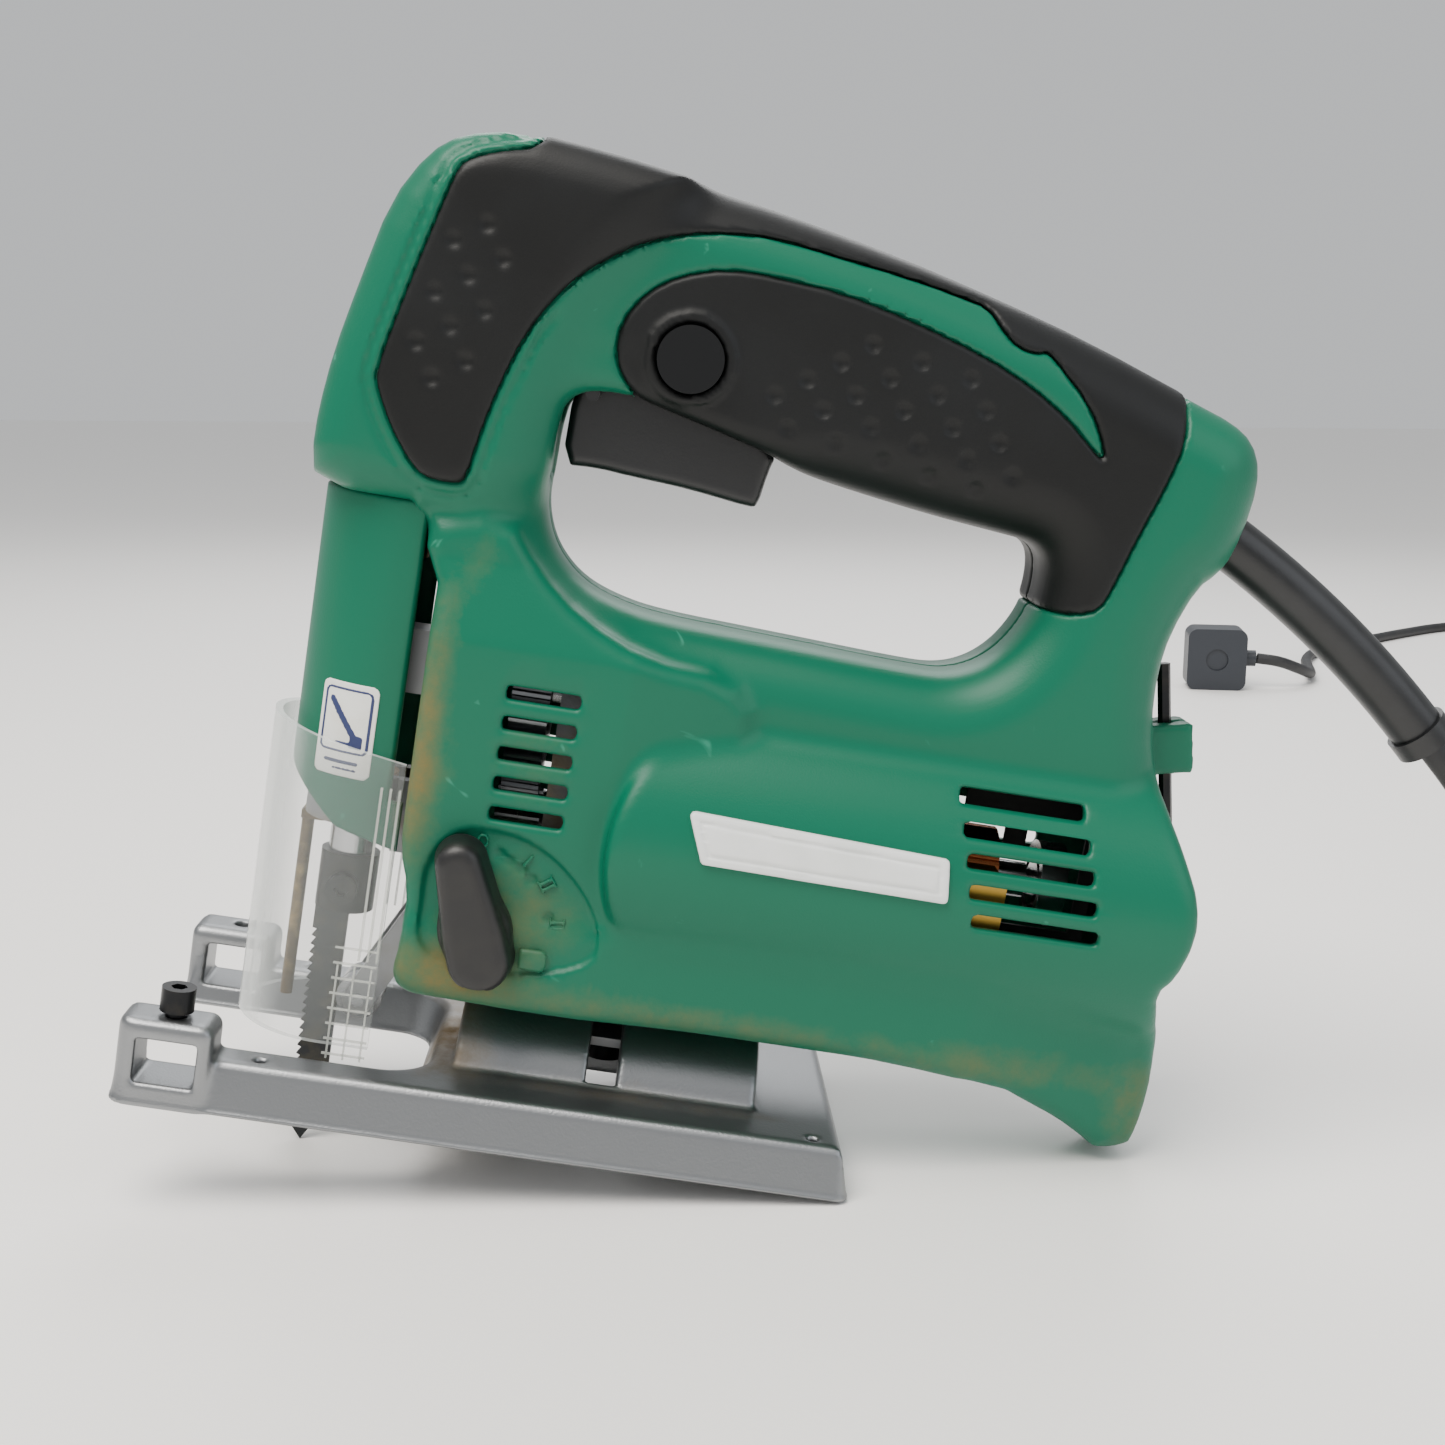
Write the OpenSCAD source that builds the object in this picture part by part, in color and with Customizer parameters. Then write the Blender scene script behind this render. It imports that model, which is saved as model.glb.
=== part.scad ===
// Corded orbital jigsaw. Lengths are in millimetres.
// The parts are drawn in the tool's own frame: X runs to the rear from the sole's
// rear edge, Y to the far side from the mid plane, and Z up from the sole.
// tool() then leans that frame nose up, as the jigsaw rests on the tip of its blade
// and on the rear edge of its sole. The floor is the plane z = 0.

/* [Base plate] */
// Length of the base plate
base_l = 155; // [140:1:190]
// Width of the base plate
base_w = 77; // [70:1:95]
// Height of the tray's top above the sole
base_h = 11; // [10:0.5:12]
// Width of each front arm
arm_w = 15.5; // [12:0.5:16]
// How far the slot between the arms reaches behind the plunger's axis
slot_rear = 22; // [18:1:25]
// Height of the fence lugs
lug_h = 18.5; // [17.5:0.5:21]
// Width of a fence bar that slides in the lugs
fence_w = 12; // [10:0.5:13]
// Height of a fence bar that slides in the lugs
fence_h = 9; // [7:0.5:9.5]
// Wall of the tray
tray_wall = 3.5; // [2.5:0.5:4]

/* [Bevel saddle] */
// Outer radius of the saddle that the tool tilts on
saddle_r = 22; // [20:0.5:22]
// Wall of the saddle
saddle_wall = 5; // [4:0.5:6]
// Diameter of the clamp bolt
clamp_bolt_d = 6; // [5:0.5:6]

/* [Motor] */
// Height of the motor shaft above the sole
motor_z = 66; // [66:0.5:68]
// Outer radius of the motor barrel
barrel_r = 33; // [33:0.5:40]
// Wall of the plastic casing
wall = 3; // [2.5:0.5:3.5]
// Diameter of the armature's iron core
core_d = 30; // [26:1:32]
// Length of the armature's iron core
core_l = 34; // [28:1:38]
// Air gap between core and poles
air_gap = 0.6; // [0.4:0.1:1]
// Outer diameter of the front ball bearing
front_bearing_od = 22; // [19:1:24]
// Outer diameter of the rear ball bearing
rear_bearing_od = 19; // [16:1:22]

/* [Crank drive] */
// Stroke of the blade
stroke = 18; // [14:1:18]
// Teeth of the pinion
pinion_teeth = 7; // [6:1:8]
// Teeth of the crank gear
gear_teeth = 50; // [44:1:50]
// Tooth module
tooth_m = 0.9; // [0.8:0.05:0.9]
// Width of the crank gear
gear_w = 8; // [6:0.5:8]
// Diameter of the plunger rod
rod_d = 10; // [8:0.5:12]
// Distance of the plunger's axis before the sole's rear edge
rod_x = 117; // [116:0.5:118]

/* [Blade] */
// Width of the blade
blade_w = 7.5; // [6:0.5:9]
// Thickness of the blade
blade_t = 1.2; // [0.9:0.1:1.6]
// How far the blade's tip stands below the sole
blade_below = 19; // [12:0.5:25]
// Pitch of the saw teeth
tooth_pitch = 2; // [1.2:0.1:3]

/* [Dust cover] */
// Outer half width of the clear cover
cover_r = 21.5; // [21:0.5:22]
// Wall of the clear cover
cover_wall = 1.6; // [1.2:0.1:2]
// Wall of the nose cover
nose_wall = 2.6; // [2:0.2:3]

/* [Handle] */
// Half width of the handle
handle_hw = 20; // [18.5:0.5:22]
// Half width of the head
head_hw = 24; // [23:0.5:26]
// Thickness of the soft grip pads
grip_t = 1.5; // [1:0.25:2]
// Radius of the lock-on button
lock_r = 6.8; // [5.5:0.1:7.5]

/* [Fits] */
// Radial clearance of a running fit
run_fit = 0.04; // [0.02:0.01:0.08]
// Radial clearance of a screw in its hole
screw_fit = 0.05; // [0.03:0.01:0.2]
// Free gap beside a part that slides or swings
free_gap = 0.4; // [0.3:0.05:0.5]

/* [Cord] */
// Diameter of the cord
cord_d = 6; // [5:0.5:7]

/* [Hidden] */
$fn = 48;
blade_x = rod_x + 2.4;
tilt = atan(blade_below / blade_x);

// the casing's side outline: X and Z of each corner
rear_x = 61.5;
head_top = 205.5;
head_low = 130;
front_x = -134;
face_x = -104.8;
keel_z = 27;

lug_l = 20;
slot_end = slot_rear - rod_x;
saddle_z = 3;
saddle_x0 = -87;
saddle_x1 = -21;
bolt_x = -55;
bolt_r = clamp_bolt_d / 2;
plate_r = saddle_r - saddle_wall;

pinion_r = tooth_m * pinion_teeth / 2;
gear_r = tooth_m * gear_teeth / 2;
gear_z = motor_z + pinion_r + gear_r;
gear_top = gear_z + gear_r + 0.6;
gear_x0 = -86;
gear_x1 = gear_x0 + gear_w;
crank_r = stroke / 2;
rest_up = 3;                        // the plunger rests this far above mid stroke
yoke_z = gear_z + rest_up;
crank_a = asin(rest_up / crank_r);
pin_r = 3;
yoke_x1 = gear_x0 - 6;
yoke_x0 = yoke_x1 - 9;
rod_r = rod_d / 2;
bush_r = rod_r + 3;
ring_r = bush_r + 3;
holder_r = 6.4;
holder_low = 37;
holder_high = 50;
spindle_r = 3.5;
spindle_bush_r = 6.5;

wall_x0 = -76;                      // the gear housing's bearing wall
wall_x1 = -66;
fb_r = front_bearing_od / 2;
fb_x0 = -75;
fb_w = 7;
rb_r = rear_bearing_od / 2;
rb_x0 = 34;
rb_w = 6;
shaft_r = 4;
tail_r = 3;
core_r = core_d / 2;
core_x0 = -38;
core_x1 = core_x0 + core_l;
pole_r = core_r + air_gap;
stator_r = barrel_r - wall - 3;
frame_t = 4;
coil_room = stator_r - frame_t;
comm_r = 11;
comm_x0 = 12;
comm_x1 = 24;
brush_x = (comm_x0 + comm_x1) / 2;
fan_r = barrel_r - wall - 5;
fan_x0 = -59.5;

lever_x = -87;
lever_z = 45.5;
cam_r = 3;
arm_pin_x = -96;
arm_pin_z = 46;
arm_pin_r = 2;
roller_r = 5;
roller_z = 18;
roller_x = -blade_x + blade_w / 2 + 0.15 + roller_r;
roller_pin_r = 1.5;

nose_r = cover_r - cover_wall - 0.6;
nose_x = -132 + nose_r;
cover_x = nose_x - 2.8;
cover_low = base_h + 1.5;
cover_top = 80;
cover_rear = face_x - 0.7;

trigger_px = -79;
trigger_pz = 157;
lock_x = -60.5;
lock_z = 167;
front_hw = 27;                      // half width of the casing round the gears

// screws that hold the two casing halves: X and Z
screw_at = [[-118, 161], [-90, 190], [0, 168], [36, 112], [57.5, 30], [-95, 64.5], [-30, 104]];
screw_r = 2;

key_r = 1.5;
key_low = [67.8, 56];
key_lean = 12.6;
key_l = 65;

guard_r = 6;
guard_bend = 243;
guard_turn = 16;
guard_at = [60, 149];
guard_a = -26;

// the free cord's route, outside the coil, on the floor's own axes
lead_in = [
    [132.5, 0, 91.2], [140, 0, 82], [147, 1, 72], [154, 4, 60], [161, 9, 48], [169, 16, 36],
    [178, 25, 25], [188, 36, 15], [199, 48, 8], [210, 61, 4], [221, 76, 3], [230, 94, 3],
    [235, 120, 3]];
lead_out = [
    [280, 165, 7], [293, 167, 5], [307, 174, 3], [322, 187, 3], [345, 210, 3], [375, 245, 3],
    [410, 290, 3], [445, 345, 3], [480, 410, 3], [510, 480, 3], [535, 550, 3], [555, 625, 3],
    [568, 700, 3], [574, 760, 3], [574, 800, 3], [570, 828, 3], [560, 850, 3], [543, 862, 3],
    [522, 862, 3], [500, 852, 3], [470, 829, 3], [438, 801, 3], [405, 770, 3], [375, 738, 3],
    [358, 708, 3], [349, 680, 3], [342, 656, 3.5], [334, 636, 6], [322, 622, 11],
    [309, 616.4, 15.5], [297.65, 618, 17]];
coil_at = [280, 120];
coil_r = 36;
coil_half = 6;
coil_h = 12;
plug_at = [275, 622, 17];
plug_turn = -10;

// ---- helpers: solids along one axis of the tool ----

module tool() rotate([0, tilt, 0]) children();

module block(x0, x1, y0, y1, z0, z1)
    translate([x0, y0, z0]) cube([x1 - x0, y1 - y0, z1 - z0]);

// an outline in X and Z, from y0 to y1
module side(y0, y1)
    translate([0, y1, 0]) rotate([90, 0, 0]) linear_extrude(y1 - y0) children();

// a section in Y and Z, from x0 to x1
module along_x(x0, x1)
    translate([x0, 0, 0]) rotate([90, 0, 90]) linear_extrude(x1 - x0) children();

module rod_along_x(x0, x1, r, z, y = 0)
    translate([x0, y, z]) rotate([0, 90, 0]) cylinder(h = x1 - x0, r = r);

module rod_along_y(y0, y1, r, x, z)
    translate([x, y1, z]) rotate([90, 0, 0]) cylinder(h = y1 - y0, r = r);

module rod_along_z(z0, z1, r, x, y = 0)
    translate([x, y, z0]) cylinder(h = z1 - z0, r = r);

module ring_along_x(x0, x1, r_out, r_in, z)
    difference() {
        rod_along_x(x0, x1, r_out, z);
        rod_along_x(x0 - 1, x1 + 1, r_in, z);
    }

// ---- base plate ----

module plan_with_round_corners(x0, x1, half_w, r)
    hull() for (x = [x0 + r, x1 - r], y = [-half_w + r, half_w - r]) translate([x, y]) circle(r);

module base_plan()
    difference() {
        plan_with_round_corners(-base_l, 0, base_w / 2, 3);
        plan_with_round_corners(-base_l - 40, slot_end, base_w / 2 - arm_w, 8);
    }

module base_pockets() {
    inner = base_w / 2 - arm_w;
    for (s = [-1, 1]) scale([1, s, 1]) {
        block(-base_l + lug_l + 6, slot_end, inner + tray_wall, base_w / 2 - tray_wall,
              -1, base_h - tray_wall);
        block(saddle_x0, -tray_wall - 8, saddle_r + 1, base_w / 2 - tray_wall,
              -1, base_h - tray_wall);
    }
    block(saddle_x1 + 3, -tray_wall - 8, -saddle_r + 3, saddle_r - 3, -1, base_h - tray_wall);
}

module lug(s)
    scale([1, s, 1]) difference() {
        block(-base_l, lug_l - base_l, base_w / 2 - arm_w + 3, base_w / 2, 0, lug_h);
        block(-base_l + 4.5, -base_l + 4.5 + fence_w + 0.5, base_w / 2 - arm_w, base_w / 2 + 1,
              lug_h - 4 - fence_h - 0.5, lug_h - 4);
        rod_along_z(lug_h - 5, lug_h + 1, 2.1, -base_l + 11, base_w / 2 - 6);
    }

module base_plate()
    color([0.72, 0.73, 0.74]) tool() difference() {
        union() {
            difference() {
                linear_extrude(base_h) base_plan();
                base_pockets();
                for (s = [-1, 1])
                    block(-base_l - 1, lug_l - base_l, s > 0 ? base_w / 2 - arm_w + 3 : -base_w,
                          s > 0 ? base_w : -base_w / 2 + arm_w - 3, -1, base_h + 1);
            }
            lug(1);
            lug(-1);
            intersection() {
                rod_along_x(saddle_x0, saddle_x1, saddle_r, saddle_z);
                block(saddle_x0, saddle_x1, -saddle_r, saddle_r, base_h - tray_wall, 40);
            }
        }
        // room for the clamp plate under the saddle, and its cross-shaped slot
        rod_along_x(saddle_x0 + 4, saddle_x1 - 4, plate_r, saddle_z);
        block(saddle_x0 + 4, saddle_x1 - 4, -plate_r, plate_r, -1, saddle_z);
        block(bolt_x - bolt_r - 0.3, bolt_x + bolt_r + 0.3, -saddle_r + 2.2, saddle_r - 2.2, 10, 40);
        block(bolt_x - 16, bolt_x + 10, -bolt_r - 0.3, bolt_r + 0.3, 10, 40);
        // holes for a sole shoe in the tray's top
        for (s = [-1, 1], x = [-base_l + 29, -9])
            rod_along_z(-1, base_h + 1, 1.25, x, s * (base_w / 2 - 7));
    }

module base_clamp_plate()
    color([0.55, 0.56, 0.58]) tool() difference() {
        intersection() {
            rod_along_x(bolt_x - 8, bolt_x + 8, plate_r - 0.1, saddle_z);
            block(bolt_x - 8, bolt_x + 8, -8, 8, saddle_z + plate_r - 4.1, 40);
        }
        rod_along_z(0, 40, bolt_r + screw_fit, bolt_x);
    }

module base_clamp_bolt()
    color([0.2, 0.2, 0.21]) tool() {
        top = saddle_z + plate_r - 0.1;
        rod_along_z(top - 4, 35, bolt_r, bolt_x);
        difference() {
            rod_along_z(top - 8.4, top - 4, 5, bolt_x);
            translate([bolt_x, 0, top - 9]) cylinder(h = 3, r = 2, $fn = 6);
        }
    }

module fence_screw()
    color([0.1, 0.1, 0.1]) tool() translate([-base_l + 11, -base_w / 2 + 6, 0]) {
        translate([0, 0, lug_h - 5]) cylinder(h = 6.2, r = 2.1 - screw_fit);
        difference() {
            translate([0, 0, lug_h + 1.2]) cylinder(h = 5, r = 3.5);
            translate([0, 0, lug_h + 3.2]) cylinder(h = 4, r = 1.7, $fn = 6);
        }
    }

// ---- plastic casing ----

module body_outline() polygon([
    [front_x, head_low], [front_x + 0.5, 145], [front_x + 2.5, 157], [front_x + 5.5, 171],
    [front_x + 9.5, 188], [front_x + 15.5, 198], [front_x + 22, 203], [front_x + 33, head_top],
    [-82, head_top - 1.5], [-62, 201.5], [-47, 199.5], [-22, 195], [0, 190], [21, 184.5],
    [47, 176], [55, 173.5], [60, 170.3], [63, 164.5], [63.2, 156], [61, 145], [58.5, 140.5],
    [55, 137], [51.5, 127], [50.5, 118], [51.5, 107], [56, 91], [59.5, 81], [rear_x, 72],
    [rear_x, 62], [59.5, 52.5], [62, 46], [64.5, 40], [65.5, 31], [65.5, 24],
    [64.5, 16], [63.5, 12.5], [61, 11], [57, 10.8], [51, 14], [45, 17], [38, 20],
    [30, 24], [5, keel_z - 0.5], [-8, keel_z], [-98, keel_z], [-103, keel_z + 3],
    [-101.5, 38], [-102, 50], [face_x, 58], [face_x, head_low]]);

module handle_opening() polygon([
    [-84, 157], [-85, 141], [-85, 134], [-83.4, 127.6], [-80.3, 122.4], [-75, 117.6],
    [-67.7, 115], [-58, 113.2], [-33, 112.3], [-2.5, 111], [4.7, 111.3], [10.5, 113.5],
    [15, 117.3], [18.2, 122], [20.3, 127], [20.9, 132], [20.6, 136.7], [19.4, 139.8],
    [16.4, 141.6], [10, 142.2], [-3.4, 143.4], [-19, 145.4], [-31, 147.3], [-38, 149],
    [-38, 157]]);

module casing_outline() difference() { body_outline(); handle_opening(); }

module head_outline() intersection() {
    body_outline();
    polygon([[-140, head_low], [-140, 210], [-70, 210], [-78, 186], [-88, 168], [-92, head_low]]);
}

// half section of the casing round the gears, with room below for the bevelled base
module front_section(inset)
    polygon([[0, keel_z + inset], [-10 + inset, keel_z + inset], [-24 + inset, 40.5 + inset],
             [-front_hw + inset, 47], [-front_hw + inset, 112 - inset], [-22 + inset, 124 - inset],
             [0, 127 - inset]]);

module half_barrel(x0, x1, r)
    intersection() {
        rod_along_x(x0, x1, r, motor_z);
        block(x0, x1, -r - 1, 0, motor_z - r - 1, motor_z + r + 1);
    }

// the space that the base plate sweeps as it bevels
module bevel_room()
    along_x(-base_l - 10, 3)
        polygon([[-9, base_h + 13.6], [-24.4, base_h + 29], [-50, base_h + 29], [-50, -20],
                 [50, -20], [50, base_h + 29], [24.4, base_h + 29], [9, base_h + 13.6]]);

module casing_half_solid() {
    side(-13, 0) casing_outline();
    side(-17, -13) offset(delta = -1.5) casing_outline();
    side(-handle_hw, -17) offset(delta = -3.5) casing_outline();
    side(-head_hw, -17) offset(delta = -3) head_outline();
    difference() {
        along_x(face_x, -57) front_section(0);
        side(-front_hw - 1, 1) handle_opening();
    }
    intersection() {
        half_barrel(-62, 60, barrel_r);
        side(-barrel_r - 1, 1) body_outline();
    }
}

module casing_half_cavity() {
    side(-14, 1) offset(delta = -wall) casing_outline();
    side(-17, -14.001) offset(delta = -wall - 3) casing_outline();
    side(-head_hw + wall, 1) offset(delta = -wall - 2) head_outline();
    difference() {
        along_x(face_x + wall, -57) front_section(wall);
        side(-front_hw - 1, 2) offset(delta = wall) handle_opening();
    }
    rod_along_x(-60, 50, barrel_r - wall, motor_z);
}

// half width of the casing at a screw
function side_hw(at) =
    at[0] < -85 && at[1] > 120 ? head_hw : at[1] > 107 ? handle_hw : at[0] > 50 ? 17
    : at[0] < -85 ? front_hw : 22;

module boss(at) rod_along_y(-side_hw(at) + 2.5, 0, 4, at[0], at[1]);

// each casing half holds half of the plunger's upper bush, under the head
module bush_seat()
    intersection() {
        union() {
            rod_along_z(gear_top + 2, head_low + 1, ring_r, -rod_x);
            block(-rod_x, face_x + wall, -8, 0, gear_top + 2, head_low + 1);
        }
        block(-140, -90, -20, 0, gear_top, head_low + 2);
    }

module stator_ribs()
    for (x = [core_x0 + 6, core_x1 - 8]) intersection() {
        ring_along_x(x, x + 2, barrel_r - wall + 0.5, stator_r + screw_fit, motor_z);
        block(x, x + 2, -barrel_r, 0, motor_z - barrel_r, motor_z + barrel_r);
    }

module rear_bearing_seat()
    intersection() {
        difference() {
            union() {
                ring_along_x(rb_x0, rb_x0 + rb_w, rb_r + 3, rb_r, motor_z);
                rod_along_x(rb_x0 + 1, rb_x0 + rb_w - 1, barrel_r - wall + 0.5, motor_z);
            }
            rod_along_x(rb_x0 - 1, rb_x0 + rb_w + 1, rb_r, motor_z);
            for (a = [30 : 60 : 330])
                translate([0, 20 * cos(a), motor_z + 20 * sin(a)])
                    rod_along_x(rb_x0 - 1, rb_x0 + rb_w + 1, 5, 0);
        }
        block(rb_x0, rb_x0 + rb_w, -barrel_r, 0, motor_z - barrel_r, motor_z + barrel_r);
    }

// five slots: X of the first, X step and Z step from one to the next
module vents(x, z, step_x, step_z, l, h)
    for (i = [0 : 4])
        side(-barrel_r - 2, -barrel_r + 15)
            translate([x + i * step_x, z + i * step_z]) square([l, h]);

module casing_half(s)
    difference() {
        union() {
            difference() { casing_half_solid(); casing_half_cavity(); }
            for (at = screw_at) boss(at);
            stator_ribs();
            rear_bearing_seat();
            key_holder(s);
            bush_seat();
        }
        rod_along_z(gear_top, head_low, bush_r, -rod_x);
        bevel_room();
        for (at = screw_at) {
            rod_along_y(-60, 1, screw_r + screw_fit, at[0], at[1]);
            if (s > 0) rod_along_y(-60, -head_seat(at), 3.8, at[0], at[1]);
        }
        // open front for the yoke, open foot for the clamp block and the roller arm
        block(face_x - 1, face_x + wall + 1, -12.5, 1, 50, gear_top + 1);
        block(-112, -84, -9.4, 1, 15, 52);
        block(wall_x0 - 0.5, -41.5, -8.5, 1, 15, 40);
        // room for the plunger rod in the head's floor
        rod_along_z(head_low - 5, 152, rod_r + 1.5, -rod_x);
        // trigger slot, and the pocket that the trigger moves up into
        block(-86, -37, -10.6, 1, 138, 164);
        vents(-87, 93.5, 0, -6.4, 15.5, 2.9);
        vents(9.5, 86, 1.4, -6.1, 27, 2.9);
        // seat of the strain relief and of the cord
        translate([guard_at[0], 0, guard_at[1]]) rotate([0, 90 - guard_a, 0])
            translate([0, 0, -16]) cylinder(h = 30, r = guard_r + 0.5);
        if (s < 0) {
            rod_along_y(-60, 1, cam_r + run_fit, lever_x, lever_z);
            rod_along_y(-60, -10, lock_r + 0.25, lock_x, lock_z);
        }
        rod_along_y(-24, 1, arm_pin_r + 0.02, arm_pin_x, arm_pin_z);
        rod_along_y(-15, 1, 1.5 + 0.02, trigger_px, trigger_pz);
    }

// depth of the screw head's seat, from the mid plane
function head_seat(at) = side_hw(at) - 5;

module housing_left()
    color([0.02, 0.42, 0.3]) tool() casing_half(-1);

module housing_right()
    color([0.02, 0.42, 0.3]) tool() mirror([0, 1, 0]) casing_half(1);

module housing_screws()
    color([0.35, 0.36, 0.38]) tool() for (at = screw_at) difference() {
        union() {
            rod_along_y(-head_seat(at) + 7, head_seat(at), screw_r, at[0], at[1]);
            rod_along_y(head_seat(at), head_seat(at) + 2.4, 3.5, at[0], at[1]);
        }
        translate([at[0], head_seat(at) + 1, at[1]]) rotate([-90, 0, 0])
            for (a = [0, 90]) rotate([0, 0, a]) translate([-2, -0.4, 0]) cube([4, 0.8, 3]);
    }

// the bracket and the clip that hold the hex key behind the rear strut
module key_holder(s)
    difference() {
        union() {
            translate([key_low[0], 0, key_low[1]]) rotate([0, -key_lean, 0]) {
                block(-14, 5, -5, 0, 41, 52);
                block(-8, 3.6, -4, 0, 3, 8);
            }
        }
        translate([key_low[0], 0, key_low[1]]) rotate([0, -key_lean, 0]) {
            cylinder(h = 100, r = key_r + 0.1);
            block(0, 6, -key_r + 0.25, 1, 1, 10);
        }
    }

module hex_key()
    color([0.12, 0.12, 0.12]) tool()
        translate([key_low[0], 0, key_low[1]]) rotate([0, -key_lean, 0]) {
            cylinder(h = key_l, r = key_r, $fn = 6);
            translate([0, 18, 0]) rotate([90, 0, 0]) cylinder(h = 18, r = key_r, $fn = 6);
        }

// a round front that runs straight back, cut off at x_rear
module d_section(r, x_mid, x_rear)
    intersection() {
        union() {
            translate([x_mid, 0]) circle(r);
            translate([x_mid, -r]) square([30, 2 * r]);
        }
        translate([x_rear - 60, -30]) square([60, 60]);
    }

module nose_cover()
    color([0.02, 0.42, 0.3]) tool() difference() {
        translate([0, 0, 45]) linear_extrude(head_low - 45) difference() {
            d_section(nose_r, nose_x, face_x - 3.2);
            d_section(nose_r - nose_wall, nose_x, face_x);
        }
        // the lower edge drops towards the rear
        side(-30, 30) polygon([[-140, 30], [-140, 66], [-126, 61], [-112, 54], [-100, 46], [-100, 30]]);
    }

module dust_cover()
    color([0.75, 0.85, 0.88, 0.4]) tool() difference() {
        translate([0, 0, cover_low]) linear_extrude(cover_top + 2 - cover_low) difference() {
            d_section(cover_r, cover_x, cover_rear);
            d_section(cover_r - cover_wall, cover_x, cover_rear + 1);
        }
        side(-30, 30) polygon([[-145, cover_top + 1.5], [-100, cover_top - 5.5], [-100, 95], [-145, 95]]);
    }

module finger_guard()
    color([0.55, 0.5, 0.42]) tool() {
        rod_along_z(15, 57, 1.35, -127.2);
        block(-128.5, -123.6, -2.5, 2.5, 56, 58);
    }

// ---- soft grips ----

module grip_panel() polygon([
    [-68, 186], [-73.5, 180], [-76, 171], [-74.5, 163], [-69, 157.5], [-60, 155], [-50, 152.3],
    [-41, 149.5], [-35, 149], [-19, 147.5], [-3, 145.6], [10, 144.4], [17, 143.8], [22, 141],
    [24, 136], [24, 129], [28, 128.5], [32.5, 130.5], [37, 146], [41, 158], [43, 167], [42, 175],
    [27, 165], [22, 171], [10, 176], [-2, 180.5], [-17, 185], [-32, 188], [-48, 189], [-58, 188.5]]);

module head_panel() polygon([
    [-96, 200.5], [-107, 197], [-111.5, 192], [-117.5, 173], [-121, 155], [-118, 145],
    [-112, 138], [-106, 136], [-102, 138], [-97.5, 156], [-93.6, 167], [-85, 180], [-80, 184],
    [-84, 196]]);

module grip(s)
    color([0.09, 0.1, 0.11]) tool() scale([1, s, 1]) difference() {
        union() {
            side(handle_hw, handle_hw + grip_t)
                intersection() { offset(delta = -3.5) casing_outline(); grip_panel(); }
            side(head_hw, head_hw + grip_t)
                intersection() { offset(delta = -3.5) head_outline(); head_panel(); }
        }
        if (s < 0) rod_along_y(0, 40, lock_r + 0.25, lock_x, lock_z);
        for (at = screw_at) rod_along_y(0, 60, 3.8, at[0], at[1]);
    }

module grip_left() grip(-1);
module grip_right() grip(1);

// ---- switch, trigger and lock button ----

module trigger()
    color([0.1, 0.1, 0.11]) tool() difference() {
        side(-10, 10) difference() {
            polygon([[-83.2, 155], [-83.5, 141], [-76, 141.4], [-68.5, 141.2], [-60, 140.8],
                     [-53, 140], [-46, 139], [-41.5, 139.3], [-39, 149], [-39, 154], [-44, 155],
                     [-74, 160.5], [-80, 160.5]]);
            polygon([[-72, 150], [-72, 162], [-44, 160], [-44, 147]]);
        }
        rod_along_y(-11, 11, 1.5 + run_fit, trigger_px, trigger_pz);
    }

module trigger_pin()
    color([0.7, 0.7, 0.72]) tool() rod_along_y(-15, 15, 1.5, trigger_px, trigger_pz);

module switch_body()
    color([0.15, 0.15, 0.16]) tool() {
        block(-72, -34, -9.5, 9.5, 166, 190);
        rod_along_z(163.5, 166, 2.4, -56);
    }

module lock_button()
    color([0.03, 0.03, 0.03]) tool() {
        rod_along_y(-handle_hw - grip_t - 1.6, -13.4, lock_r, lock_x, lock_z);
    }

// ---- orbital action ----

module orbital_lever()
    color([0.13, 0.13, 0.14]) tool() difference() {
        union() {
            rod_along_y(-front_hw - 5, -front_hw - 0.3, 8.5, lever_x, lever_z);
            side(-front_hw - 9, -front_hw - 1.5) hull() {
                translate([lever_x - 1, lever_z - 4]) circle(4.8);
                translate([lever_x - 3, lever_z + 13]) circle(3.6);
            }
        }
        rod_along_y(-front_hw - 4, 0, cam_r, lever_x, lever_z);
    }

module orbital_cam_shaft()
    color([0.6, 0.6, 0.62]) tool() difference() {
        rod_along_y(-front_hw - 4, 7, cam_r, lever_x, lever_z);
        block(lever_x - 5, lever_x - 1.2, -5, 5, lever_z - 5, lever_z + 5);
    }

module roller_arm()
    color([0.45, 0.46, 0.48]) tool() difference() {
        union() {
            for (y = [-7, 5.2]) side(y, y + 1.8) hull() {
                translate([arm_pin_x, arm_pin_z]) circle(3.5);
                translate([roller_x, roller_z]) circle(3.4);
            }
            side(-5.2, 5.2) translate([-99.5, 33]) square([3, 7]);
        }
        rod_along_y(-10, 10, arm_pin_r + run_fit, arm_pin_x, arm_pin_z);
        rod_along_y(-10, 10, roller_pin_r, roller_x, roller_z);
    }

module roller_arm_pin()
    color([0.7, 0.7, 0.72]) tool() rod_along_y(-23.5, 23.5, arm_pin_r, arm_pin_x, arm_pin_z);

module guide_roller()
    color([0.75, 0.75, 0.76]) tool() translate([roller_x, 0, roller_z]) rotate([90, 0, 0])
        rotate_extrude() polygon([
            [roller_pin_r + run_fit, -4.8], [roller_r, -4.8], [roller_r, -0.9],
            [roller_r - 1.5, -0.7], [roller_r - 1.5, 0.7], [roller_r, 0.9], [roller_r, 4.8],
            [roller_pin_r + run_fit, 4.8]]);

module roller_pin()
    color([0.6, 0.6, 0.62]) tool() rod_along_y(-7.4, 7.4, roller_pin_r, roller_x, roller_z);

// ---- plunger, yoke and blade ----

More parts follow.
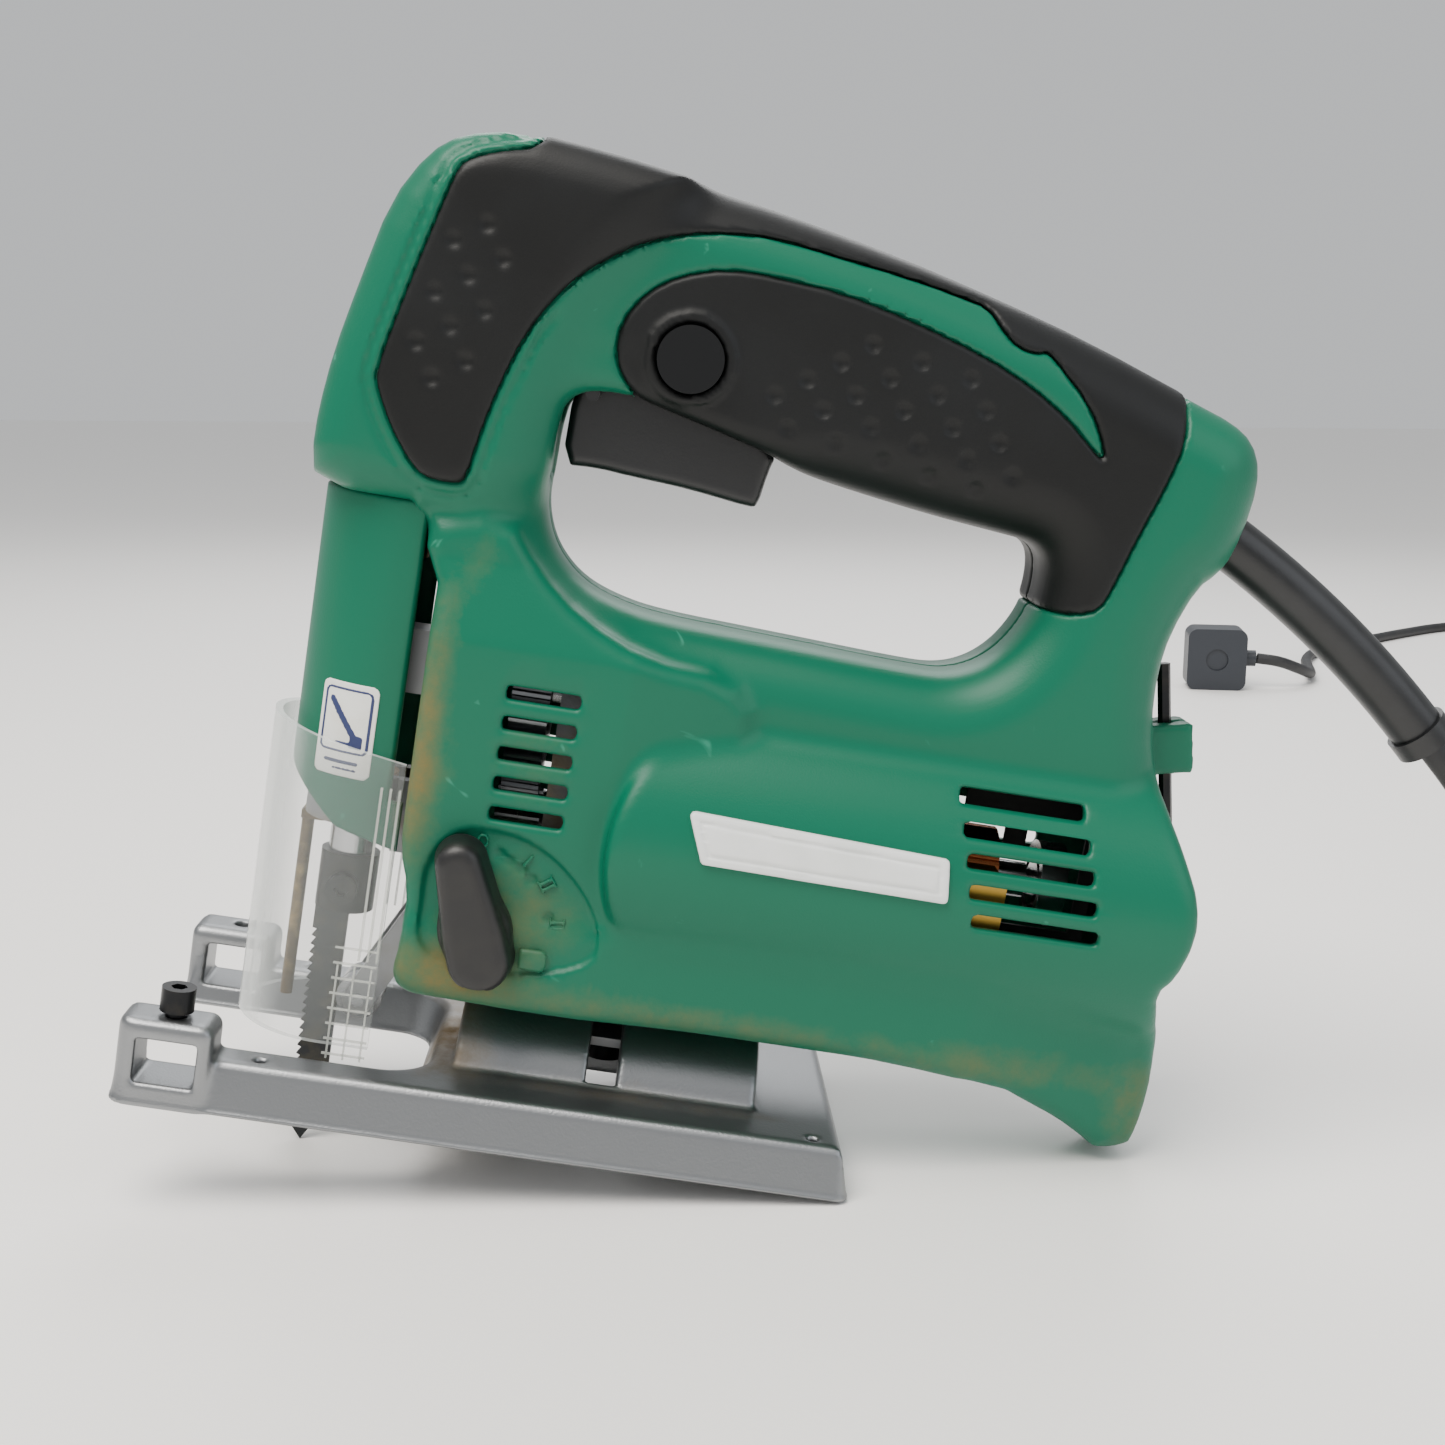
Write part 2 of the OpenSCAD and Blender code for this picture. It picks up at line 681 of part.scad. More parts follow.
module plunger_rod()
    color([0.7, 0.71, 0.72]) tool() rod_along_z(holder_high, 142, rod_r, -rod_x);

module yoke()
    color([0.5, 0.5, 0.52]) tool() difference() {
        union() {
            block(yoke_x0, yoke_x1, -crank_r - 7, crank_r + 7, yoke_z - 7, yoke_z + 7);
            block(-rod_x, yoke_x0, -5, 5, yoke_z - 7, yoke_z + 7);
            rod_along_z(yoke_z - 7, yoke_z + 7, rod_r + 2.5, -rod_x);
        }
        block(yoke_x0 + 2, yoke_x1 + 1, -crank_r - pin_r - 1, crank_r + pin_r + 1,
              yoke_z - pin_r - 0.1, yoke_z + pin_r + 0.1);
        rod_along_z(yoke_z - 8, yoke_z + 8, rod_r, -rod_x);
    }

module bush(z0, z1)
    color([0.72, 0.55, 0.3]) tool() difference() {
        rod_along_z(z0, z1, bush_r, -rod_x);
        rod_along_z(z0 - 1, z1 + 1, rod_r + run_fit, -rod_x);
    }

module upper_bush() bush(gear_top + 2, head_low);
module lower_bush() bush(58, 69);

module blade_holder()
    color([0.3, 0.3, 0.32]) tool() difference() {
        rod_along_z(holder_low, holder_high, holder_r, -rod_x);
        block(-blade_x - blade_w / 2, -blade_x + blade_w / 2, -blade_t / 2, blade_t / 2,
              holder_low - 1, holder_high - 1.5);
        rod_along_y(-10, -blade_t / 2 + 0.1, 2 + screw_fit, -rod_x, 43);
    }

module blade_screw()
    color([0.12, 0.12, 0.12]) tool() difference() {
        union() {
            rod_along_y(-6, -blade_t / 2, 2, -rod_x, 43);
            rod_along_y(-9, -6.4, 3.4, -rod_x, 43);
            rod_along_y(-6.5, -5.9, 2, -rod_x, 43);
        }
        translate([-rod_x, -7.6, 43]) rotate([90, 0, 0]) cylinder(h = 3, r = 1.5, $fn = 6);
    }

module jigsaw_blade() {
    teeth_z1 = holder_low - 6;
    count = floor((teeth_z1 + blade_below - 4) / tooth_pitch);
    front = -blade_x - blade_w / 2;
    color([0.22, 0.22, 0.23]) tool() side(-blade_t / 2, blade_t / 2)
        polygon(concat(
            [[front, holder_high - 1.5], [front, teeth_z1]],
            [for (i = [0 : count - 1], k = [0, 1])
                [front + (k == 0 ? 1 : 0), teeth_z1 - (i + (k == 0 ? 0.1 : 0.9)) * tooth_pitch]],
            [[-blade_x - 0.4, -blade_below], [-blade_x + blade_w / 2, -blade_below + 7],
             [-blade_x + blade_w / 2, holder_high - 1.5]]));
}

// ---- crank gear and pinion: involute teeth, thinned for backlash ----

function inv(a) = tan(a) * 180 / PI - a;
function tooth_half(r, rp, m, thin) =
    let (rb = rp * cos(20), a = acos(min(1, rb / max(r, rb))))
    (PI * m / 2 - thin) / (2 * rp) * 180 / PI + inv(20) - inv(a);

module toothed_disc(teeth, m, add, ded, thin) {
    rp = m * teeth / 2;
    rb = rp * cos(20);
    rt = rp + add;
    rr = rp - ded;
    r1 = max(rb, rr + 0.05);
    rs = [rr, r1, (r1 + rt) / 2, rt];
    polygon([for (i = [0 : teeth - 1], k = [0 : 7])
        let (r = k < 4 ? rs[k] : rs[7 - k],
             h = max(0.4, tooth_half(r, rp, m, thin)),
             a = i * 360 / teeth + (k < 4 ? -h : h))
        [r * cos(a), r * sin(a)]]);
}

module crank_gear()
    color([0.42, 0.43, 0.45]) tool() difference() {
        translate([0, 0, gear_z]) along_x(gear_x0, gear_x1)
            rotate([0, 0, -90 + 180 / gear_teeth])
                toothed_disc(gear_teeth, tooth_m, 0.55 * tooth_m, 1.3 * tooth_m, 0.32);
        rod_along_x(gear_x0 - 1, gear_x1 + 1, spindle_r, gear_z);
        translate([0, crank_r * cos(crank_a), crank_r * sin(crank_a)])
            rod_along_x(gear_x0 - 1, gear_x0 + 5, pin_r, gear_z);
        for (a = [60 : 60 : 360])
            translate([0, 15.5 * cos(crank_a + a + 30), 15.5 * sin(crank_a + a + 30)])
                rod_along_x(gear_x0 - 1, gear_x1 + 1, 2.6, gear_z);
    }

module crank_pin()
    color([0.75, 0.75, 0.77]) tool()
        translate([0, crank_r * cos(crank_a), crank_r * sin(crank_a)])
            rod_along_x(yoke_x1 + 0.3, gear_x0 + 5, pin_r, gear_z);

module gear_spindle()
    color([0.65, 0.65, 0.67]) tool() rod_along_x(gear_x0, wall_x1 - 1, spindle_r, gear_z);

module spindle_bush()
    color([0.72, 0.55, 0.3]) tool()
        ring_along_x(wall_x0, wall_x1, spindle_bush_r, spindle_r + run_fit, gear_z);

module gear_housing()
    color([0.66, 0.67, 0.68]) tool() difference() {
        union() {
            along_x(wall_x0, wall_x1) hull() {
                translate([0, 60]) circle(min(17, fb_r + 6));
                translate([0, gear_z + 8]) circle(11);
            }
            block(wall_x0, -42, -8, 8, 20, 40);
            block(wall_x0, wall_x1, -8, 8, 36, 60);
            block(-108, wall_x0 + 1, -8, 8, 53, 59);
            block(-108, -101.5, -8, 8, 53, 69);
            rod_along_z(58, 69, ring_r, -rod_x);
        }
        rod_along_x(wall_x0 - 40, wall_x1 + 1, 5.5, motor_z);
        rod_along_x(fb_x0, wall_x1 + 1, fb_r, motor_z);
        rod_along_x(wall_x0 - 1, wall_x1 + 1, spindle_bush_r, gear_z);
        rod_along_z(50, 140, bush_r, -rod_x);
        rod_along_x(saddle_x0 - 1, -40, saddle_r + 0.35, saddle_z);
        rod_along_z(10, 36, bolt_r, bolt_x);
    }

// ---- motor ----

module armature_shaft()
    color([0.7, 0.7, 0.72]) tool() {
        translate([0, 0, motor_z]) along_x(gear_x0 - 1, fb_x0 - 2) rotate([0, 0, 90])
            toothed_disc(pinion_teeth, tooth_m, 1.05 * tooth_m, 0.75 * tooth_m, 0.32);
        rod_along_x(fb_x0 - 2, rb_x0 - 2, shaft_r, motor_z);
        rod_along_x(rb_x0 - 2, rb_x0 + rb_w + 1, tail_r, motor_z);
    }

module armature_core()
    color([0.4, 0.4, 0.42]) tool() translate([0, 0, motor_z]) along_x(core_x0, core_x1)
        difference() {
            circle(core_r);
            circle(shaft_r);
            for (a = [0 : 30 : 330]) rotate(a) {
                translate([core_r - 5, -0.6]) square([6, 1.2]);
                translate([core_r - 4.6, 0]) circle(1.8);
            }
        }

module armature_windings()
    color([0.62, 0.3, 0.12]) tool() {
        for (x = [core_x0 - 7, core_x1]) translate([0, 0, motor_z]) along_x(x, x + 7) difference() {
            circle(core_r - 1.6);
            circle(shaft_r + 2);
            for (a = [15 : 30 : 345]) rotate(a) translate([core_r - 1.4, 0]) circle(1.1);
        }
    }

module commutator()
    color([0.72, 0.42, 0.22]) tool() translate([0, 0, motor_z]) {
        along_x(comm_x0, comm_x1) difference() {
            circle(comm_r);
            circle(shaft_r);
            for (a = [0 : 15 : 345]) rotate(a) translate([comm_r - 1, -0.25]) square([2, 0.5]);
        }
        along_x(comm_x0 - 2.5, comm_x0) difference() { circle(comm_r + 1.2); circle(shaft_r); }
    }

module cooling_fan()
    color([0.2, 0.2, 0.22]) tool() translate([0, 0, motor_z]) {
        along_x(fan_x0, fan_x0 + 1.6) difference() { circle(fan_r); circle(shaft_r); }
        along_x(fan_x0 + 1.6, fan_x0 + 8) union() {
            difference() { circle(8); circle(shaft_r); }
            for (a = [0 : 40 : 320]) rotate(a) translate([9, 0]) rotate(24)
                translate([-3.5, -0.7]) square([fan_r - 7, 1.4]);
        }
    }

// the rings and balls of both bearings: x0, width, outer and bore radius
bearing_at = [[fb_x0, fb_w, fb_r, shaft_r], [rb_x0, rb_w, rb_r, tail_r]];
function race_r(b) = (b[2] + b[3]) / 2;
function ball_r(b) = (b[2] - b[3]) * 0.27;

module bearing_ring(b, r_out, r_in)
    difference() {
        rod_along_x(b[0], b[0] + b[1], r_out, motor_z);
        rod_along_x(b[0] - 1, b[0] + b[1] + 1, r_in, motor_z);
        translate([b[0] + b[1] / 2, 0, motor_z]) rotate([0, 90, 0])
            rotate_extrude() translate([race_r(b), 0]) circle(ball_r(b) + 0.05);
    }

module bearing_inner_rings()
    color([0.78, 0.78, 0.8]) tool() for (b = bearing_at) bearing_ring(b, race_r(b) - 1, b[3]);

module bearing_outer_rings()
    color([0.78, 0.78, 0.8]) tool() for (b = bearing_at) bearing_ring(b, b[2], race_r(b) + 1);

module bearing_balls()
    color([0.85, 0.85, 0.87]) tool() for (b = bearing_at, a = [0 : 360 / 7 : 359])
        translate([b[0] + b[1] / 2, race_r(b) * cos(a), motor_z + race_r(b) * sin(a)])
            sphere(ball_r(b));

module stator_core()
    color([0.35, 0.35, 0.37]) tool() translate([0, 0, motor_z])
        along_x(core_x0 + 2, core_x1 - 2) difference() {
            circle(stator_r);
            difference() {
                circle(coil_room);
                for (s = [-1, 1]) translate([-9, s > 0 ? 0 : -stator_r]) square([18, stator_r]);
            }
            circle(pole_r);
        }

module stator_coils()
    color([0.65, 0.33, 0.14]) tool() translate([0, 0, motor_z]) for (s = [-1, 1]) difference() {
        along_x(core_x0 - 4, core_x1 + 4) intersection() {
            difference() { circle(coil_room - 0.2); circle(pole_r + 0.6); }
            translate([-16, s > 0 ? 8 : -stator_r]) square([32, stator_r - 8]);
        }
        block(core_x0 + 1.8, core_x1 - 1.8, -9.2, 9.2, -stator_r, stator_r);
    }

module brush_holders()
    color([0.72, 0.6, 0.3]) tool() for (s = [-1, 1]) scale([1, s, 1]) difference() {
        block(brush_x - 4.4, brush_x + 4.4, comm_r + 1.6, comm_r + 17, motor_z - 5.2, motor_z + 5.2);
        block(brush_x - 3.2, brush_x + 3.2, comm_r + 1, comm_r + 16, motor_z - 4, motor_z + 4);
    }

module carbon_brushes()
    color([0.12, 0.12, 0.12]) tool() for (s = [-1, 1]) scale([1, s, 1])
        block(brush_x - 3.1, brush_x + 3.1, comm_r + 0.1, comm_r + 10, motor_z - 3.9, motor_z + 3.9);

// each brush spring is a stack of wire turns
module brush_springs()
    color([0.75, 0.72, 0.6]) tool() for (s = [-1, 1], i = [0 : 4])
        translate([brush_x, s * (comm_r + 10.6 + i * 1.2), motor_z]) rotate([90, 0, 0])
            rotate_extrude($fn = 24) translate([2.4, 0]) circle(0.6);

// ---- cord ----

// carries its children to the strain relief's root, with Z along the cord
module at_guard() translate([guard_at[0], 0, guard_at[1]]) rotate([0, 90 - guard_a, 0]) children();

// the strain relief's bend, measured from its tip
module guard_arc(turn, r, past = 0)
    translate([guard_at[0] + guard_bend * sin(guard_a), 0, guard_at[1] - guard_bend * cos(guard_a)])
        rotate([90, 0, 0]) rotate([0, 0, 90 + guard_a - guard_turn - past])
            rotate_extrude(angle = turn) translate([guard_bend, 0]) circle(r);

module cord_guard()
    color([0.08, 0.08, 0.08]) tool() {
        difference() {
            union() {
                at_guard() translate([0, 0, -14]) cylinder(h = 14.6, r = guard_r + 0.4);
                guard_arc(guard_turn, guard_r);
                guard_arc(1.1, guard_r + 0.9);
            }
            at_guard() translate([0, 0, -15]) cylinder(h = 16.2, r = cord_d / 2 + 0.3);
            guard_arc(guard_turn + 0.5, cord_d / 2, 0.25);
        }
    }

module cord_clamp()
    color([0.15, 0.15, 0.16]) tool() at_guard() difference() {
        translate([-4.6, -13, -20]) cube([3, 26, 6]);
        for (y = [-10, 10]) translate([-6, y, -17]) rotate([0, 90, 0]) cylinder(h = 6, r = 1.6);
    }

module clamp_screws()
    color([0.6, 0.6, 0.62]) tool() at_guard() for (y = [-10, 10]) translate([0, y, -17]) {
        translate([-4.6, 0, 0]) rotate([0, 90, 0]) cylinder(h = 9, r = 1.5);
        translate([-6.8, 0, 0]) rotate([0, 90, 0]) cylinder(h = 2.2, r = 2.8);
    }

function unit(v) = v / max(norm(v), 0.001);
function bezier_pt(p, i, t) =
    let (a = p[max(i - 1, 0)], b = p[i], c = p[i + 1], d = p[min(i + 2, len(p) - 1)])
    0.5 * (2 * b + (c - a) * t + (2 * a - 5 * b + 4 * c - d) * t * t
           + (3 * b - a - 3 * c + d) * t * t * t);
function smooth(p, n) = concat([for (i = [0 : len(p) - 2], k = [0 : n - 1]) bezier_pt(p, i, k / n)],
                               [p[len(p) - 1]]);
function ring_at(q, i, r, sides) =
    let (t = unit(q[min(i + 1, len(q) - 1)] - q[max(i - 1, 0)]),
         u = unit(cross([0, 0, 1], t)), w = cross(t, u))
    [for (k = [0 : sides - 1]) q[i] + r * cos(k * 360 / sides) * u + r * sin(k * 360 / sides) * w];

module tube(q, r, sides = 8) {
    n = len(q);
    points = [for (i = [0 : n - 1]) each ring_at(q, i, r, sides)];
    faces = concat(
        [[for (k = [0 : sides - 1]) k]],
        [for (i = [0 : n - 2], k = [0 : sides - 1])
            [i * sides + k, (i + 1) * sides + k, (i + 1) * sides + (k + 1) % sides,
             i * sides + (k + 1) % sides]],
        [[for (k = [sides - 1 : -1 : 0]) (n - 1) * sides + k]]);
    polyhedron(points, faces);
}

module cord_lead_in() color([0.1, 0.1, 0.1]) tube(lead_in, cord_d / 2);
module cord_lead_out() color([0.1, 0.1, 0.1]) tube(smooth(lead_out, 2), cord_d / 2);

module coil_section(grow)
    translate([coil_r - coil_half - grow, 1.2 - grow]) square([2 * (coil_half + grow), coil_h + 2 * grow]);

module cord_coil()
    color([0.1, 0.1, 0.1]) translate([coil_at[0], coil_at[1], 0])
        rotate_extrude() coil_section(0);

module coil_tie()
    color([0.05, 0.05, 0.05]) translate([coil_at[0], coil_at[1], 0])
        for (a = [-60, 60]) rotate([0, 0, a]) rotate_extrude(angle = 12) difference() {
            coil_section(1.2);
            coil_section(0);
        }

module plug_body()
    color([0.09, 0.1, 0.13]) translate(plug_at) rotate([0, 0, plug_turn]) {
        difference() {
            side(-11, 11) offset(r = 5) square([22, 24], center = true);
            translate([0, -12, 0]) rotate([-90, 0, 0]) cylinder(h = 2.4, r = 6);
        }
        rotate([0, 90, 0]) translate([0, 0, 16]) cylinder(h = 6, r = 4.5);
    }

module plug_pins()
    color([0.75, 0.66, 0.4]) translate(plug_at) rotate([0, 0, plug_turn])
        for (x = [-6.35, 6.35]) translate([x - 0.75, 11, -3.15]) cube([1.5, 17, 6.3]);

base_plate();
base_clamp_bolt();
base_clamp_plate();
fence_screw();
gear_housing();
housing_left();
housing_right();
housing_screws();
nose_cover();
grip_left();
grip_right();
dust_cover();
finger_guard();
trigger();
trigger_pin();
switch_body();
lock_button();
orbital_lever();
orbital_cam_shaft();
roller_arm();
roller_arm_pin();
guide_roller();
roller_pin();
plunger_rod();
yoke();
upper_bush();
lower_bush();
blade_holder();
blade_screw();
jigsaw_blade();
crank_gear();
crank_pin();
gear_spindle();
spindle_bush();
armature_shaft();
armature_core();
armature_windings();
commutator();
cooling_fan();
bearing_inner_rings();
bearing_outer_rings();
bearing_balls();
stator_core();
stator_coils();
brush_holders();
carbon_brushes();
brush_springs();
hex_key();
cord_guard();
cord_clamp();
clamp_screws();
cord_lead_in();
cord_coil();
coil_tie();
cord_lead_out();
plug_body();
plug_pins();
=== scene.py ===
import itertools
import math

import bpy
import numpy as np
from mathutils import Matrix, Vector


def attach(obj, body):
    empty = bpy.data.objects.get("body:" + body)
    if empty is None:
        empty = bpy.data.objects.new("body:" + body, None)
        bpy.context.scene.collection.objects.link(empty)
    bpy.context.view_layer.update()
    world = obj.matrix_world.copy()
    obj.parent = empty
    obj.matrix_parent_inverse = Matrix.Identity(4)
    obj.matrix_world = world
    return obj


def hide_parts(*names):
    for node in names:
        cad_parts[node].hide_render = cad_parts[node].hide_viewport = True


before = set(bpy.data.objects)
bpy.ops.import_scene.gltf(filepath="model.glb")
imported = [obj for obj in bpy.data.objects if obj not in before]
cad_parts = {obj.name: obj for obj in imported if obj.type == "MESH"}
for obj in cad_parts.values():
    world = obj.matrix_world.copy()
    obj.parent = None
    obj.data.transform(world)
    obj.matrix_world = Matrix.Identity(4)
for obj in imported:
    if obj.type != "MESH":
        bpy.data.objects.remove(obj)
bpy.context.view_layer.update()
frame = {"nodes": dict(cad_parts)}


# ---- Floor, light and camera ----
# A plain pale floor under soft studio light. The camera stands before the tool's near
# side, a little above it.
def linear(code):
    """An sRGB hex colour as linear RGBA."""
    parts = [int(code[i:i + 2], 16) / 255 for i in (1, 3, 5)]
    return [c / 12.92 if c < 0.04045 else ((c + 0.055) / 1.055) ** 2.4 for c in parts] + [1]


def add(tree, kind, **values):
    """Adds a node. A value is set on the input of that name, or linked if it is a socket."""
    node = tree.nodes.new(kind)
    for name, value in values.items():
        label = name.replace("_", " ")
        if label not in node.inputs:
            setattr(node, name, value)
        elif isinstance(value, bpy.types.NodeSocket):
            tree.links.new(value, node.inputs[label])
        else:
            node.inputs[label].default_value = value
    return node


def surface(name, colour, roughness, metallic=0.0, ior=1.5, grain=None, wear=None, alpha=1.0):
    """A material with grain = (size in mm, bump in mm) and wear = (size in mm, colour, amount)."""
    mat = bpy.data.materials.new(name)
    mat.use_nodes = True
    tree = mat.node_tree
    tree.nodes.clear()
    place = add(tree, "ShaderNodeTexCoord").outputs["Object"]
    base = linear(colour)
    mat.diffuse_color = base
    bsdf = add(tree, "ShaderNodeBsdfPrincipled", Metallic=metallic, IOR=ior, Alpha=alpha)
    if wear:
        size, other, amount = wear
        noise = add(tree, "ShaderNodeTexNoise", Vector=place, Scale=1000 / size, Detail=5.0)
        ramp = add(tree, "ShaderNodeMapRange", Value=noise.outputs["Fac"])
        ramp.inputs["From Min"].default_value = 0.45
        ramp.inputs["From Max"].default_value = 0.75
        ramp.inputs["To Max"].default_value = amount
        mix = add(tree, "ShaderNodeMix", data_type="RGBA")
        tree.links.new(ramp.outputs["Result"], mix.inputs["Factor"])
        mix.inputs[6].default_value = base
        mix.inputs[7].default_value = linear(other)
        tree.links.new(mix.outputs[2], bsdf.inputs["Base Color"])
        rough = add(tree, "ShaderNodeMapRange", Value=noise.outputs["Fac"])
        rough.inputs["To Min"].default_value = max(0.02, roughness - 0.08)
        rough.inputs["To Max"].default_value = min(1.0, roughness + 0.12)
        tree.links.new(rough.outputs["Result"], bsdf.inputs["Roughness"])
    else:
        bsdf.inputs["Base Color"].default_value = base
        bsdf.inputs["Roughness"].default_value = roughness
    if grain:
        size, depth = grain
        fine = add(tree, "ShaderNodeTexNoise", Vector=place, Scale=1000 / size, Detail=2.0)
        bump = add(tree, "ShaderNodeBump", Height=fine.outputs["Fac"], Distance=depth / 1000)
        tree.links.new(bump.outputs["Normal"], bsdf.inputs["Normal"])
    out = add(tree, "ShaderNodeOutputMaterial")
    tree.links.new(bsdf.outputs["BSDF"], out.inputs["Surface"])
    return mat


def paint(obj, mat):
    obj.data.materials.clear()
    obj.data.materials.append(mat)


def link_mesh(name, points, faces, mat):
    """A mesh object at the origin, from points in metres in the row frame."""
    mesh = bpy.data.meshes.new(name)
    mesh.from_pydata([tuple(p) for p in points], [], [tuple(f) for f in faces])
    mesh.update()
    obj = bpy.data.objects.new(name, mesh)
    bpy.context.scene.collection.objects.link(obj)
    paint(obj, mat)
    return obj


floor_half = 6.0
floor = link_mesh("floor", [(-floor_half, -floor_half, 0), (floor_half, -floor_half, 0),
                            (floor_half, floor_half, 0), (-floor_half, floor_half, 0)],
                  [(0, 1, 2, 3)], surface("pale_laminate", "#f8f6f3", 0.5, grain=(2.0, 0.05)))

world = bpy.data.worlds.new("studio")
bpy.context.scene.world = world
world.use_nodes = True
world.node_tree.nodes["Background"].inputs["Color"].default_value = linear("#e4e6e8")
world.node_tree.nodes["Background"].inputs["Strength"].default_value = 0.82


def soft_light(name, place, target, size, power, colour="#ffffff"):
    lamp = bpy.data.lights.new(name, "AREA")
    lamp.size = size
    lamp.energy = power
    lamp.color = linear(colour)[:3]
    obj = bpy.data.objects.new(name, lamp)
    obj.location = place
    obj.rotation_euler = (Vector(target) - Vector(place)).to_track_quat("-Z", "Y").to_euler()
    bpy.context.scene.collection.objects.link(obj)


soft_light("key_light", (-0.45, -0.45, 1.35), (0, 0, 0.05), 1.0, 34, "#fffaf3")
soft_light("fill_light", (0.95, -0.6, 0.7), (0, 0, 0.1), 0.9, 4, "#f3f7ff")
soft_light("back_light", (0.1, 1.0, 0.95), (0, 0, 0.1), 0.9, 9)

camera = bpy.data.objects.new("camera", bpy.data.cameras.new("camera"))
camera.data.lens = 46.5
camera.data.sensor_width = 36
camera.data.clip_start = 0.01
nod, turn = math.radians(10.61), math.radians(2.2)
right = Vector((math.cos(turn), -math.sin(turn) * math.cos(nod), math.sin(turn) * math.sin(nod)))
ahead = Vector((math.sin(turn), math.cos(turn) * math.cos(nod), -math.cos(turn) * math.sin(nod)))
up = right.cross(ahead)
camera.matrix_world = Matrix.Translation((-0.0415, -0.4037, 0.1718)) @ Matrix(
    (right, up, -ahead)).transposed().to_4x4()
bpy.context.scene.collection.objects.link(camera)
bpy.context.scene.camera = camera


# ---- Mains cord, its coil, tie and plug ----
# One 6 mm rubber-sheathed flex, 2.0 m long. It leaves the strain relief, drops to the
# floor, is wound into a small tied coil, and runs on to a moulded side-entry plug.
cord_d = 0.006
lead_in = [
    [132.5, 0, 91.2], [140, 0, 82], [147, 1, 72], [154, 4, 60], [161, 9, 48], [169, 16, 36],
    [178, 25, 25], [188, 36, 15], [199, 48, 8], [210, 61, 4], [221, 76, 3], [230, 94, 3],
    [235, 120, 3]]
lead_out = [
    [280, 165, 7], [293, 167, 5], [307, 174, 3], [322, 187, 3], [345, 210, 3], [375, 245, 3],
    [410, 290, 3], [445, 345, 3], [480, 410, 3], [510, 480, 3], [535, 550, 3], [555, 625, 3],
    [568, 700, 3], [574, 760, 3], [574, 800, 3], [570, 828, 3], [560, 850, 3], [543, 862, 3],
    [522, 862, 3], [500, 852, 3], [470, 829, 3], [438, 801, 3], [405, 770, 3], [375, 738, 3],
    [358, 708, 3], [349, 680, 3], [342, 656, 3.5], [334, 636, 6], [322, 622, 11],
    [309, 616.4, 15.5], [297.65, 618, 17]]
coil_x, coil_y = 280, 120
# turn of the coil so far, radius and height of the cord's centre
coil_steps = [(0.06, 41.5, 3.6), (0.12, 39.2, 4.4), (0.83, 39, 4.4), (0.97, 33, 4.4),
              (1.55, 33, 4.4), (1.72, 33, 10.5), (2.25, 33, 10.5), (2.42, 39, 10.5),
              (3.12, 39, 10.5), (3.17, 41, 10.3), (3.21, 43.2, 9.4)]
turns = [s[0] for s in coil_steps]
coil = []
for at in np.arange(0.06, 3.215, 1 / 20):
    r = np.interp(at, turns, [s[1] for s in coil_steps])
    z = np.interp(at, turns, [s[2] for s in coil_steps])
    angle = math.pi - 2 * math.pi * at
    coil.append([coil_x + r * math.cos(angle), coil_y + r * math.sin(angle), z])
route = [Vector(p) / 1000 for p in lead_in + coil + lead_out]
curve = bpy.data.curves.new("mains_cord", "CURVE")
curve.dimensions = "3D"
curve.bevel_depth = cord_d / 2
curve.bevel_resolution = 5
curve.resolution_u = 5
curve.use_fill_caps = True
spline = curve.splines.new("BEZIER")
spline.bezier_points.add(len(route) - 1)
for knot, p in zip(spline.bezier_points, route):
    knot.co = p
    knot.handle_left_type = knot.handle_right_type = "AUTO"
mains_cord = bpy.data.objects.new("mains_cord", curve)
bpy.context.scene.collection.objects.link(mains_cord)
# chloroprene sheath, extruded: black, slightly dusty, soft sheen
sheath = surface("chloroprene_sheath", "#1b1c1e", 0.55, wear=(9, "#3a3936", 0.5), grain=(0.5, 0.03))
paint(mains_cord, sheath)
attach(mains_cord, "casing")
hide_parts("cord_lead_in", "cord_coil", "cord_lead_out")


def bevelled(obj, width, segments=3, angle=30):
    """Rounds a piece's sharp edges, width in mm."""
    mod = obj.modifiers.new("round_edges", "BEVEL")
    mod.width = width / 1000
    mod.segments = segments
    mod.limit_method = "ANGLE"
    mod.angle_limit = math.radians(angle)
    mod.use_clamp_overlap = True
    obj.data.shade_smooth()
    return obj


node = frame["nodes"]
# moulded PVC plug: bluish black with a soft sheen, its brass pins on the hidden side
paint(bevelled(node["plug_body"], 2.0), surface("moulded_pvc", "#24282f", 0.42, grain=(0.8, 0.03)))
paint(node["plug_pins"], surface("nickelled_brass", "#b9ab83", 0.25, 1.0))
paint(node["coil_tie"], sheath)


# ---- Plastic casing: two halves ----
# Two injection-moulded glass-filled nylon halves, screwed together on the mid plane:
# closed handle, head, gear box, motor barrel and rear foot. Green, fine matt texture.
lean = math.atan(19 / 119.4)
motor_z, barrel_r = 66, 33
lock_x, lock_z = -60.5, 167.1
lever_x, lever_z = -87, 45.5
wall = 2.7
step = 0.8
gx = np.arange(-137, 70, step)
gz = np.arange(5, 209, step)
gy = np.arange(-0.8, 36, step)
X2, Z2 = np.meshgrid(gx, gz, indexing="ij")
X3, V3, Z3 = gx[:, None, None], gy[None, :, None], gz[None, None, :]


def to_row(points):
    """Points in the tool's own frame, in mm, as points in the row frame, in metres."""
    p = np.asarray(points, float)
    c, s = math.cos(lean), math.sin(lean)
    return np.stack([p[:, 0] * c + p[:, 2] * s, p[:, 1], -p[:, 0] * s + p[:, 2] * c], 1) / 1000


